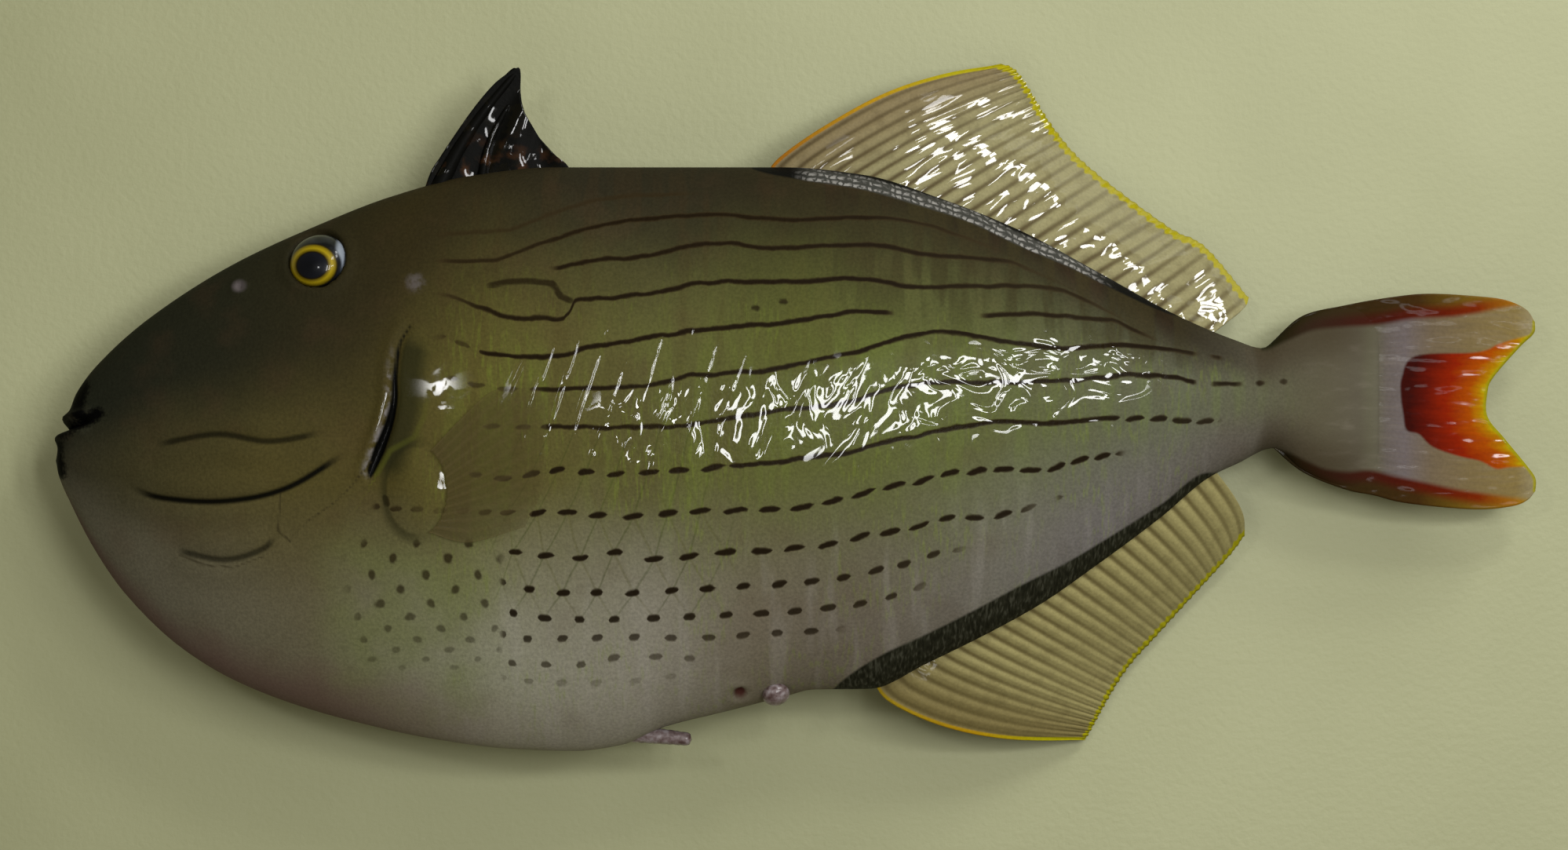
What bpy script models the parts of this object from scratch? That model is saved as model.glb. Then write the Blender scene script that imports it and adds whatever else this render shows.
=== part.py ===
"""Lined triggerfish lying on its right flank, life size, in metres with +Z up.

The nose points to -X, the back to +Y and the left flank up. Sizes below are in millimetres.
"""

import math

import bmesh
import bpy
import numpy as np
from mathutils import Vector

MM = 0.001
PART_GAP = 0.3
MID_HEIGHT = 17.6
TAIL_DROOP = 8.0
NOSE_X = -131.2
TAIL_END_X = 130.8
STUMP_END_X = 100.0
SNOUT_LENGTH = 13.0
RING_POINTS = 40
SECTION_POWER = 1.06

BACK_LINE = (
    (-131.2, -10.0), (-130.3, -5.5), (-128.9, -2.0), (-127.5, 1.8), (-122.4, 8.2),
    (-113.5, 15.8), (-99.7, 24.5), (-85.9, 30.9), (-72.1, 36.3), (-58.3, 39.9),
    (-44.0, 41.4), (-20.0, 41.4), (-3.1, 41.4), (10.7, 40.1), (24.5, 35.9),
    (38.3, 30.4), (52.1, 23.1), (65.9, 15.6), (76.3, 11.2), (81.4, 9.7),
    (84.7, 13.3), (88.6, 15.6), (96.2, 17.3), (100.0, 18.0),
)
BELLY_LINE = (
    (-131.2, -10.4), (-130.6, -12.9), (-128.6, -17.5), (-124.5, -25.5), (-119.0, -33.5),
    (-109.3, -42.9), (-99.7, -48.8), (-88.6, -53.2), (-77.6, -56.3), (-65.2, -59.0),
    (-51.4, -60.8), (-40.0, -61.2), (-32.0, -60.2), (-24.0, -56.9), (-13.6, -54.3),
    (-3.0, -51.6), (2.0, -50.4), (11.8, -50.3), (21.8, -45.9), (41.1, -36.0),
    (52.1, -28.5), (63.2, -20.3), (72.0, -13.1), (77.0, -10.7), (83.3, -8.0),
    (88.6, -12.2), (96.2, -15.3), (100.0, -16.2),
)
HALF_WIDTH = (
    (-131.2, 0.0), (-130.3, 2.6), (-128.9, 4.2), (-126.0, 6.0), (-122.4, 7.6),
    (-113.5, 10.9), (-99.7, 14.2), (-85.9, 16.2), (-72.0, 16.9), (-64.0, 17.2),
    (-45.0, 18.4), (-28.0, 18.7), (-10.0, 18.2), (5.0, 17.0), (20.0, 14.9),
    (38.0, 11.7), (52.0, 9.0), (66.0, 6.7), (76.0, 5.4), (82.0, 4.7),
    (90.0, 3.4), (97.0, 1.9), (100.0, 1.3),
)
WIDEST_LINE = ((-131.2, -10.2), (-100.0, -12.0), (-60.0, -11.0), (0.0, -5.0), (60.0, 0.0), (100.0, 1.0))

EYE_CENTRE = (-84.3, 25.0)
EYE_RADIUS = 5.1
EYE_DEPTH = 3.4
EYE_SINK = 1.0
LID_RADIUS = 5.1
LID_THICKNESS = 0.75
NOSTRILS = ((-97.9, 20.2, 0.75), (-95.6, 21.6, 0.5))

MOUTH_CORNER = (-124.0, -2.8)
MOUTH_SLOPE = 0.3
MOUTH_OPENING = 1.5
LIP_OFFSET = 1.35
LIP_RADIUS = 1.05

GILL_SLIT = ((-67.2, 13.5), (-69.2, 9.9), (-69.9, 4.4), (-69.9, 0.4), (-71.1, -4.4), (-74.1, -12.4))
GILL_HALF_WIDTH = 0.55
GILL_DEPTH = 2.2
CHEEK_GROOVES = (
    ((-112.5, -7.5), (-101.0, -5.5), (-91.5, -6.7), (-81.9, -5.2)),
    ((-117.0, -14.6), (-110.5, -16.5), (-99.6, -17.0), (-88.7, -14.8), (-77.9, -8.5)),
    ((-108.5, -25.5), (-99.6, -27.1), (-92.8, -25.2), (-90.4, -22.7)),
)
GROOVE_HALF_WIDTH = 0.45
GROOVE_DEPTH = 0.5

LOBE_CENTRE = (-66.1, -15.1)
LOBE_RADII = (5.3, 7.7, 2.2)
LOBE_SINK = 0.5
RECESS_CENTRE = (-60.0, -23.0)
RECESS_RADII = (16.0, 21.0)
RECESS_DEPTH = 3.0

HEAD_PLANE = ((-67.2, 13.9), (0.968, -0.25))
STEM_PLANE = ((73.5, 0.0), (1.0, 0.0))
FIN_PLANE = ((82.3, 1.0), (0.995, 0.1))

RAY_THICKNESS = 1.1
WEB_THICKNESS = 0.5
RAY_EDGE_THICKNESS = 0.7

SOFT_DORSAL = dict(
    rays=28, rows=9, base=(-4.6, 71.5), side=1,
    lead=((-2.4, 45.9), (3.5, 49.9), (12.0, 54.0), (23.2, 58.2), (35.9, 60.9)),
    edge=((35.9, 60.9), (39.2, 59.0), (45.5, 49.3), (52.0, 42.2), (65.9, 31.7), (72.4, 28.1), (80.0, 18.8)),
    trail=((74.8, 14.6), (79.0, 16.4), (80.0, 18.8)),
    tip_heights=(4.5, 2.2, 2.0, 5.0),
)
ANAL = dict(
    rays=26, rows=8, base=(12.2, 72.4), side=-1,
    lead=((16.6, -54.8), (25.0, -57.6), (36.3, -60.5), (51.0, -60.7)),
    edge=((51.0, -60.7), (57.8, -48.7), (64.5, -40.9), (75.8, -28.2), (79.2, -23.6)),
    trail=((76.4, -16.2), (78.5, -19.8), (79.2, -23.6)),
    tip_heights=(1.6, 2.4, 3.2, 5.5),
)
CAUDAL = dict(
    rays=14, rows=7,
    base=((96.0, 16.6), (96.0, -14.8)),
    lead=((96.0, 16.6), (104.0, 18.7), (111.3, 19.4), (121.0, 18.9), (128.1, 16.6), (130.2, 13.5)),
    edge=(
        (130.2, 13.5), (127.3, 9.6), (122.9, 4.6), (121.8, 1.9), (121.8, -2.4),
        (124.9, -6.3), (129.2, -11.4), (130.8, -15.3),
    ),
    trail=((96.0, -14.8), (101.5, -16.4), (107.4, -17.8), (119.2, -18.9), (128.1, -17.7), (130.8, -15.3)),
)
PECTORAL_RAY = 0.85
PECTORAL = dict(
    rays=13, rows=6, lift=0.35, spread=0.8, arc=(62.0, -68.0),
    lead=((-57.8, -2.2), (-53.2, 1.8), (-49.0, 2.4)),
    edge=((-49.0, 2.4), (-44.6, 1.6), (-43.6, -6.4), (-44.3, -14.6), (-47.4, -21.3)),
    trail=((-57.1, -24.0), (-47.4, -21.3)),
)
FOLDED_PECTORAL = dict(
    rays=13, rows=6, lift=0.5, spread=0.0, arc=(5.0, -100.0),
    lead=((-55.4, -15.5), (-49.8, -22.2), (-46.9, -28.0)),
    edge=((-46.9, -28.0), (-47.6, -33.0), (-53.6, -36.4), (-60.6, -36.4)),
    trail=((-66.2, -27.4), (-60.6, -36.4)),
)

SPINY_OUTLINE = (
    (-67.6, 36.0), (-65.4, 40.2), (-63.7, 43.0), (-61.0, 47.1), (-57.6, 51.9), (-54.1, 56.0),
    (-51.0, 58.3), (-49.2, 58.1), (-49.4, 52.9), (-47.2, 48.1), (-44.5, 44.6), (-39.4, 40.2),
)
SPINY_WEB = 0.7
SPINES = (
    ((-64.6, 36.0), (-50.4, 58.0), 1.7, 0.7),
    ((-56.4, 38.4), (-51.0, 54.0), 1.0, 0.5),
    ((-49.4, 39.6), (-48.2, 48.0), 0.8, 0.45),
)
PELVIC_SPINE = ((-31.0, -58.0), (-19.4, -59.2), 1.6, 0.7)
PAPILLA = (-4.6, -50.9, 2.3)
VENT = (-10.8, -50.6, 1.0)


def smooth_curve(points):
    """A function through the given (x, value) pairs that never overshoots them."""
    xs, ys = np.array(points, float).T
    step = np.diff(xs)
    rise = np.diff(ys) / step
    slopes = np.zeros(len(xs))
    slopes[0], slopes[-1] = rise[0], rise[-1]
    for i in range(1, len(xs) - 1):
        if rise[i - 1] * rise[i] > 0:
            slopes[i] = 2 * rise[i - 1] * rise[i] / (rise[i - 1] + rise[i])

    def value(x):
        x = min(max(x, xs[0]), xs[-1])
        i = min(int(np.searchsorted(xs, x, side="right")) - 1, len(step) - 1)
        t = (x - xs[i]) / step[i]
        h = step[i]
        return (
            (1 + 2 * t) * (1 - t) ** 2 * ys[i]
            + t * (1 - t) ** 2 * h * slopes[i]
            + t * t * (3 - 2 * t) * ys[i + 1]
            + t * t * (t - 1) * h * slopes[i + 1]
        )

    return value


back_at = smooth_curve(BACK_LINE)
belly_at = smooth_curve(BELLY_LINE)
width_at = smooth_curve(HALF_WIDTH)
widest_at = smooth_curve(WIDEST_LINE)


def mid_height(x):
    return MID_HEIGHT - TAIL_DROOP * max(0.0, x / TAIL_END_X) ** 1.6


def smoothstep(low, high, x):
    t = min(max((x - low) / (high - low), 0.0), 1.0)
    return t * t * (3 - 2 * t)


def recess(x, y):
    """Hollow of the lower flank that the folded pectoral fin lies in."""
    r = math.hypot((x - RECESS_CENTRE[0]) / RECESS_RADII[0], (y - RECESS_CENTRE[1]) / RECESS_RADII[1])
    return RECESS_DEPTH * (1 - smoothstep(0.35, 1.3, r))


def fullness(x, y):
    """1 on the body's widest line, falling to 0 at its back and belly lines."""
    mid = widest_at(x)
    reach = back_at(x) - mid if y > mid else mid - belly_at(x)
    s = min(abs(y - mid) / reach, 1.0)
    return math.sqrt(1 - s * s)


def half_thickness(x, y):
    return width_at(x) * fullness(x, y) ** SECTION_POWER


def flank(x, y, side):
    """Height of the skin over the floor at (x, y); side is 1 for the left flank, -1 for the right."""
    half = half_thickness(x, y)
    if side < 0:
        half -= recess(x, y) * fullness(x, y)
    return mid_height(x) + side * half


def flank_normal(x, y, side):
    d = 0.5
    slope_x = (flank(x + d, y, side) - flank(x - d, y, side)) / (2 * d)
    slope_y = (flank(x, y + d, side) - flank(x, y - d, side)) / (2 * d)
    return (Vector((-slope_x, -slope_y, 1.0)) * side).normalized()


def on_flank(x, y, side):
    return Vector((x, y, flank(x, y, side)))


def material(name, colour):
    skin = bpy.data.materials.new(name)
    skin.use_nodes = True
    shader = skin.node_tree.nodes["Principled BSDF"]
    shader.inputs["Base Color"].default_value = (*colour, 1.0)
    shader.inputs["Roughness"].default_value = 0.4
    return skin


def mesh_object(name, points, faces):
    mesh = bpy.data.meshes.new(name)
    mesh.from_pydata([tuple(c * MM for c in p) for p in points], [], faces)
    form = bmesh.new()
    form.from_mesh(mesh)
    bmesh.ops.recalc_face_normals(form, faces=form.faces)
    form.to_mesh(mesh)
    form.free()
    made = bpy.data.objects.new(name, mesh)
    bpy.context.scene.collection.objects.link(made)
    return made


def remove(made):
    bpy.data.objects.remove(made, do_unlink=True)


def combine(target, other, operation, solver="EXACT", keep_other=False):
    modifier = target.modifiers.new("join", "BOOLEAN")
    modifier.operation = operation
    modifier.solver = solver
    modifier.object = other
    graph = bpy.context.evaluated_depsgraph_get()
    result = bpy.data.meshes.new_from_object(target.evaluated_get(graph))
    target.modifiers.clear()
    target.data = result
    if not keep_other:
        remove(other)


def copy_of(source, name):
    made = bpy.data.objects.new(name, source.data.copy())
    bpy.context.scene.collection.objects.link(made)
    return made


def ring_faces(start, count, next_start):
    return [
        (start + i, start + (i + 1) % count, next_start + (i + 1) % count, next_start + i)
        for i in range(count)
    ]


def body_stations():
    snout = [NOSE_X + SNOUT_LENGTH * (k / 8) ** 2 for k in range(1, 9)]
    flanks = list(np.linspace(NOSE_X + SNOUT_LENGTH + 4.5, 74.0, 39))
    stump = [77.0, 79.4, 81.4, 83.4, 86.0, 89.0, 92.5, 96.3, STUMP_END_X]
    return snout + flanks + stump


def body_loft(name, grow=0.0):
    """The whole trunk from nose to the root of the tail fin, as one closed skin."""
    points = [(NOSE_X - 0.05 - grow, -10.2, MID_HEIGHT)]
    faces = []
    stations = body_stations()
    for x in stations:
        mid = widest_at(x)
        up, down = back_at(x) - mid + grow, mid - belly_at(x) + grow
        for i in range(RING_POINTS):
            turn = 2 * math.pi * i / RING_POINTS
            s, c = math.sin(turn), math.cos(turn)
            y = mid + s * (up if s > 0 else down)
            half = (width_at(x) + grow) * abs(c) ** SECTION_POWER
            if c < 0:
                half -= recess(x, y) * abs(c)
            points.append((x, y, mid_height(x) + math.copysign(half, c)))
    for i in range(RING_POINTS):
        faces.append((0, 1 + i, 1 + (i + 1) % RING_POINTS))
    for k in range(len(stations) - 1):
        start = 1 + k * RING_POINTS
        faces += ring_faces(start, RING_POINTS, start + RING_POINTS)
    last = 1 + (len(stations) - 1) * RING_POINTS
    faces.append(tuple(range(last, last + RING_POINTS)))
    return mesh_object(name, points, faces)


def box(name, low, high):
    points = [(x, y, z) for x in (low[0], high[0]) for y in (low[1], high[1]) for z in (low[2], high[2])]
    faces = [(0, 1, 3, 2), (4, 6, 7, 5), (0, 4, 5, 1), (2, 3, 7, 6), (0, 2, 6, 4), (1, 5, 7, 3)]
    return mesh_object(name, points, faces)


def half_space(name, plane, beyond):
    """A block that fills everything behind the plane (beyond=1) or before it (beyond=-1)."""
    (px, py), (nx, ny) = plane
    normal = Vector((nx, ny, 0.0)).normalized() * beyond
    along = Vector((-normal.y, normal.x, 0.0))
    start = Vector((px, py, 0.0)) - normal * PART_GAP / 2
    corners = []
    for depth in (0.0, 400.0):
        for side in (-200.0, 200.0):
            for z in (-60.0, 90.0):
                p = start + normal * depth + along * side
                corners.append((p.x, p.y, z))
    faces = [(0, 1, 3, 2), (4, 6, 7, 5), (0, 4, 5, 1), (2, 3, 7, 6), (0, 2, 6, 4), (1, 5, 7, 3)]
    return mesh_object(name, corners, faces)


def ellipsoid(name, centre, axes, radii, around=22, along=11):
    """A closed ellipsoid whose third axis is its pole."""
    points = [centre + axes[2] * radii[2]]
    for k in range(1, along):
        fall = math.pi * k / along
        for i in range(around):
            turn = 2 * math.pi * i / around
            points.append(
                centre
                + axes[0] * radii[0] * math.sin(fall) * math.cos(turn)
                + axes[1] * radii[1] * math.sin(fall) * math.sin(turn)
                + axes[2] * radii[2] * math.cos(fall)
            )
    points.append(centre - axes[2] * radii[2])
    faces = [(0, 1 + i, 1 + (i + 1) % around) for i in range(around)]
    for k in range(along - 2):
        faces += ring_faces(1 + k * around, around, 1 + (k + 1) * around)
    last = 1 + (along - 2) * around
    faces += [(last + (i + 1) % around, last + i, len(points) - 1) for i in range(around)]
    return mesh_object(name, points, faces)


def frame_from(normal):
    across = Vector((1.0, 0.0, 0.0))
    across = (across - normal * across.dot(normal)).normalized()
    return across, normal.cross(across), normal


def tube(name, centres, normals, widths, depths, around=6):
    """A closed bar along the centres, as wide as widths across and as deep as depths along the normals."""
    points, faces = [], []
    count = len(centres)
    for k in range(count):
        ahead = centres[min(k + 1, count - 1)] - centres[max(k - 1, 0)]
        across = ahead.cross(normals[k]).normalized()
        for i in range(around):
            turn = 2 * math.pi * (i + 0.5) / around
            points.append(
                centres[k] + across * widths[k] * math.cos(turn) + normals[k] * depths[k] * math.sin(turn)
            )
    for k in range(count - 1):
        faces += ring_faces(k * around, around, (k + 1) * around)
    faces.append(tuple(range(around - 1, -1, -1)))
    faces.append(tuple((count - 1) * around + i for i in range(around)))
    return mesh_object(name, points, faces)


def torus(name, centre, axes, major, minor, around=24, section=8):
    points, faces = [], []
    for k in range(around):
        turn = 2 * math.pi * k / around
        out = axes[0] * math.cos(turn) + axes[1] * math.sin(turn)
        for i in range(section):
            roll = 2 * math.pi * i / section
            points.append(centre + out * (major + minor * math.cos(roll)) + axes[2] * minor * math.sin(roll))
    for k in range(around):
        faces += ring_faces(k * section, section, ((k + 1) % around) * section)
    return mesh_object(name, points, faces)


def flank_line(points, side, samples):
    """Points spaced along a smooth line drawn on the flank."""
    line = resample(points, samples)
    return [on_flank(x, y, side) for x, y in line]


def resample(points, samples):
    """Evenly spaced points along a rounded line through the given ones."""
    given = np.array(points, float)
    if len(given) > 2:
        dense = []
        padded = np.vstack([2 * given[0] - given[1], given, 2 * given[-1] - given[-2]])
        for k in range(len(given) - 1):
            p0, p1, p2, p3 = padded[k : k + 4]
            for t in np.linspace(0, 1, 12, endpoint=False):
                dense.append(
                    0.5
                    * (
                        2 * p1
                        + (p2 - p0) * t
                        + (2 * p0 - 5 * p1 + 4 * p2 - p3) * t * t
                        + (3 * p1 - p0 - 3 * p2 + p3) * t**3
                    )
                )
        dense.append(given[-1])
        given = np.array(dense)
    run = np.concatenate([[0], np.cumsum(np.linalg.norm(np.diff(given, axis=0), axis=1))])
    where = np.linspace(0, run[-1], samples)
    return np.stack([np.interp(where, run, given[:, i]) for i in range(given.shape[1])], axis=1)


def groove_cutter(name, points, side, half_width, depth, samples):
    centres = flank_line(points, side, samples)
    normals = [flank_normal(c.x, c.y, side) for c in centres]
    taper = [max(0.35, math.sin(math.pi * k / (samples - 1)) ** 0.5) for k in range(samples)]
    widths = [half_width * t for t in taper]
    depths = [depth * t for t in taper]
    return tube(name, centres, normals, widths, depths)


def eye_frame(side):
    normal = flank_normal(*EYE_CENTRE, side)
    return on_flank(*EYE_CENTRE, side), frame_from(normal)


def eye(name, side, grow=0.0):
    surface, axes = eye_frame(side)
    centre = surface - axes[2] * EYE_SINK
    radii = (EYE_RADIUS + grow, EYE_RADIUS + grow, EYE_DEPTH + grow)
    return ellipsoid(name, centre, axes, radii)


def add_lid(body, side):
    surface, axes = eye_frame(side)
    combine(body, torus("lid", surface - axes[2] * 0.25, axes, LID_RADIUS, LID_THICKNESS), "UNION")


def add_lobe(body, side):
    surface = on_flank(*LOBE_CENTRE, side)
    axes = frame_from(flank_normal(*LOBE_CENTRE, side))
    combine(body, ellipsoid("lobe", surface - axes[2] * LOBE_SINK, axes, LOBE_RADII, 20, 10), "UNION")


def mouth_height(x):
    return MOUTH_CORNER[1] + MOUTH_SLOPE * (x - MOUTH_CORNER[0])


def lip_path(offset, samples=11):
    """Points round the front of the snout along one lip, from one mouth corner to the other."""
    corner = MOUTH_CORNER[0]
    front = corner
    while half_thickness(front, mouth_height(front) + offset) > 0.8 and front > NOSE_X:
        front -= 0.05
    path = []
    for k in range(samples):
        turn = math.pi * (k / (samples - 1) - 0.5)
        x = front + (corner - front) * (1 - math.cos(turn)) ** 1.4
        y = mouth_height(x) + offset
        half = half_thickness(x, y) * (1 if abs(turn) > 1e-6 else 0)
        path.append(Vector((x, y, MID_HEIGHT + math.copysign(half, turn))))
    return path


def add_lips(body):
    for offset in (LIP_OFFSET, -LIP_OFFSET):
        path = lip_path(offset)
        up = [Vector((0.0, 1.0, 0.0))] * len(path)
        sizes = [LIP_RADIUS * (0.45 + 0.55 * math.sin(math.pi * k / (len(path) - 1))) for k in range(len(path))]
        combine(body, tube("lip", path, up, sizes, sizes, around=8), "UNION")


def cut_mouth(body):
    """Cuts the gape as a wedge that narrows to the corners of the mouth."""
    front = NOSE_X - 3
    points = []
    for z in (MID_HEIGHT - 12, MID_HEIGHT + 12):
        points += [(MOUTH_CORNER[0], MOUTH_CORNER[1] - 0.2, z), (MOUTH_CORNER[0], MOUTH_CORNER[1] + 0.2, z)]
        points.append((front, mouth_height(front) + MOUTH_OPENING / 2, z))
        points.append((front, mouth_height(front) - MOUTH_OPENING / 2, z))
    faces = [(0, 1, 2, 3), (7, 6, 5, 4)] + [(i, i + 4, (i + 1) % 4 + 4, (i + 1) % 4) for i in range(4)]
    combine(body, mesh_object("mouth", points, faces), "DIFFERENCE")


def cut_pits(body, side):
    for x, y, radius in NOSTRILS:
        axes = frame_from(flank_normal(x, y, side))
        pit = ellipsoid("nostril", on_flank(x, y, side), axes, (radius * 1.3, radius, 0.9), 10, 6)
        combine(body, pit, "DIFFERENCE")


def cut_details(body, side):
    combine(body, groove_cutter("gill", GILL_SLIT, side, GILL_HALF_WIDTH, GILL_DEPTH, 12), "DIFFERENCE")
    for points in CHEEK_GROOVES:
        cutter = groove_cutter("groove", points, side, GROOVE_HALF_WIDTH, GROOVE_DEPTH, 9)
        combine(body, cutter, "DIFFERENCE")
    cut_pits(body, side)
    combine(body, eye("socket", side, PART_GAP), "DIFFERENCE")


def level_floor(body):
    """Flattens what would sink into the floor, which is where the fish rests."""
    combine(body, box("floor", (-200, -120, -40), (200, 120, 0)), "DIFFERENCE")


def papilla(name, grow=0.0):
    x, y, radius = PAPILLA
    centre = on_flank(x, y + 0.8, 1)
    axes = frame_from(flank_normal(x, y + 1.2, 1))
    r = radius + grow
    return ellipsoid(name, Vector((x, y, centre.z)), axes, (r * 1.05, r, r * 0.8), 14, 8)


def pelvic_spine(name, grow=0.0):
    (x0, y0), (x1, y1), root, tip = PELVIC_SPINE
    count = 6
    centres, sizes = [], []
    for k in range(count):
        t = k / (count - 1)
        centres.append(Vector((x0 + (x1 - x0) * t, y0 + (y1 - y0) * t, MID_HEIGHT)))
        sizes.append(root + (tip - root) * t + grow)
    ahead = (centres[-1] - centres[0]).normalized()
    centres[0] -= ahead * grow
    centres[-1] += ahead * grow
    normals = [Vector((0.0, 0.0, 1.0))] * count
    return tube(name, centres, normals, sizes, [s * 0.9 for s in sizes], around=10)


def fin_sheet(name, middle, ridges):
    """A sheet with a front and a back of the same triangles, thicker along the rays."""
    middle = np.asarray(middle, float)
    columns, rows = middle.shape[:2]
    along_u = np.gradient(middle, axis=0)
    along_v = np.gradient(middle, axis=1)
    normals = np.cross(along_u, along_v)
    normals /= np.linalg.norm(normals, axis=2, keepdims=True)
    half = np.asarray(ridges, float)[:, :, None] / 2
    points = np.concatenate([(middle + normals * half).reshape(-1, 3), (middle - normals * half).reshape(-1, 3)])
    back = columns * rows
    faces = []
    for i in range(columns - 1):
        for j in range(rows - 1):
            a, b = i * rows + j, (i + 1) * rows + j
            for face in ((a, b, b + 1), (a, b + 1, a + 1)):
                faces.append(face)
                faces.append(tuple(back + v for v in reversed(face)))
    rim = [i * rows for i in range(columns)]
    rim += [(columns - 1) * rows + j for j in range(1, rows)]
    rim += [i * rows + rows - 1 for i in range(columns - 2, -1, -1)]
    rim += [j for j in range(rows - 2, 0, -1)]
    for a, b in zip(rim, rim[1:] + rim[:1]):
        faces.append((a, b, back + b))
        faces.append((a, back + b, back + a))
    return mesh_object(name, points, faces)


def blend_patch(base, edge, lead, trail):
    """Points filled in between four border lines."""
    columns, rows = len(base), len(lead)
    patch = np.zeros((columns, rows, 2))
    for i in range(columns):
        u = i / (columns - 1)
        for j in range(rows):
            v = j / (rows - 1)
            patch[i, j] = (
                (1 - v) * base[i] + v * edge[i] + (1 - u) * lead[j] + u * trail[j]
                - (1 - u) * (1 - v) * base[0] - u * (1 - v) * base[-1]
                - (1 - u) * v * edge[0] - u * v * edge[-1]
            )
    return patch


def rayed_thickness(columns, rows, root=RAY_THICKNESS):
    """Every other column stands up as a ray, and each ray thins towards the fin's edge."""
    thickness = np.full((columns, rows), WEB_THICKNESS)
    for j in range(rows):
        thickness[::2, j] = root + (RAY_EDGE_THICKNESS - root) * j / (rows - 1)
    return thickness


def median_fin(name, rays, rows, base, side, lead, edge, trail, tip_heights):
    """A soft fin that rises from the back or the belly and sinks towards the floor at its edge."""
    columns = 2 * rays - 1
    rim = back_at if side > 0 else belly_at
    feet = np.array([(x, rim(x) + side * PART_GAP) for x in np.linspace(*base, columns)])
    edges = resample(edge, columns)
    leads = resample((tuple(feet[0]),) + lead, rows)
    trails = resample((tuple(feet[-1]),) + trail, rows)
    patch = blend_patch(feet, edges, leads, trails)
    height = smooth_curve(list(zip(np.linspace(0, 1, len(tip_heights)), tip_heights)))
    middle = np.zeros((columns, rows, 3))
    middle[:, :, :2] = patch
    for i in range(columns):
        start, end = mid_height(feet[i, 0]), height(i / (columns - 1))
        for j in range(rows):
            middle[i, j, 2] = start + (end - start) * (j / (rows - 1)) ** 1.5
    return fin_sheet(name, middle, rayed_thickness(columns, rows))


def caudal_fin_sheet(name, rays, rows, base, lead, edge, trail):
    columns = 2 * rays - 1
    patch = blend_patch(
        resample(base, columns), resample(edge, columns), resample(lead, rows), resample(trail, rows)
    )
    middle = np.zeros((columns, rows, 3))
    middle[:, :, :2] = patch
    for i in range(columns):
        for j in range(rows):
            middle[i, j, 2] = mid_height(patch[i, j, 0])
    return fin_sheet(name, middle, rayed_thickness(columns, rows))


def pectoral_fin(name, side, rays, rows, lift, spread, arc, lead, edge, trail):
    """A paired fin that starts round its fleshy lobe and lies along the flank."""
    columns = 2 * rays - 1
    feet = []
    for turn in np.radians(np.linspace(*arc, columns)):
        feet.append((
            LOBE_CENTRE[0] + (LOBE_RADII[0] + 0.4) * math.cos(turn),
            LOBE_CENTRE[1] + (LOBE_RADII[1] + 0.4) * math.sin(turn),
        ))
    feet = np.array(feet)
    leads = resample((tuple(feet[0]),) + lead, rows)
    trails = resample((tuple(feet[-1]),) + trail, rows)
    patch = blend_patch(feet, resample(edge, columns), leads, trails)
    middle = np.zeros((columns, rows, 3))
    middle[:, :, :2] = patch
    for i in range(columns):
        for j in range(rows):
            x, y = patch[i, j]
            rise = lift + PECTORAL_RAY / 2 + spread * (j / (rows - 1)) ** 2
            middle[i, j, 2] = flank(x, y, side) + side * rise
    return fin_sheet(name, middle, rayed_thickness(columns, rows, PECTORAL_RAY))


def plate(name, outline, half):
    """A flat web in the mid-plane with the given outline."""
    count = len(outline)
    points = [(x, y, MID_HEIGHT + half) for x, y in outline]
    points += [(x, y, MID_HEIGHT - half) for x, y in outline]
    faces = [tuple(range(count)), tuple(range(2 * count - 1, count - 1, -1))]
    faces += [(i, i + count, (i + 1) % count + count, (i + 1) % count) for i in range(count)]
    return mesh_object(name, points, faces)


def spiny_fin(name):
    made = plate(name, SPINY_OUTLINE, SPINY_WEB / 2)
    for (x0, y0), (x1, y1), root, tip in SPINES:
        count = 5
        centres, sizes = [], []
        for k in range(count):
            t = k / (count - 1)
            bow = 1.2 * math.sin(math.pi * t)
            centres.append(Vector((x0 + (x1 - x0) * t - bow * 0.6, y0 + (y1 - y0) * t + bow * 0.5, MID_HEIGHT)))
            sizes.append(root + (tip - root) * t)
        normals = [Vector((0.0, 0.0, 1.0))] * count
        combine(made, tube("spine", centres, normals, sizes, sizes, around=10), "UNION")
    combine(made, body_loft("clearance", PART_GAP), "DIFFERENCE")
    return made


def finish(made, colour):
    mesh = made.data
    form = bmesh.new()
    form.from_mesh(mesh)
    bmesh.ops.remove_doubles(form, verts=form.verts, dist=0.000002)
    bmesh.ops.dissolve_degenerate(form, edges=form.edges, dist=0.000002)
    bmesh.ops.triangulate(form, faces=form.faces)
    form.to_mesh(mesh)
    form.free()
    mesh.materials.clear()
    mesh.materials.append(material(made.name, colour))
    mesh.polygons.foreach_set("use_smooth", [True] * len(mesh.polygons))
    mesh.set_sharp_from_angle(angle=math.radians(38))


def part_between(body, name, behind=None, before=None):
    """The piece of the body behind one plane and before the other, less the gap at each."""
    made = copy_of(body, name)
    if behind:
        combine(made, half_space("front", behind, -1), "DIFFERENCE")
    if before:
        combine(made, half_space("rear", before, 1), "DIFFERENCE")
    return made


def clear_scene():
    for made in list(bpy.data.objects):
        bpy.data.objects.remove(made, do_unlink=True)


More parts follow.
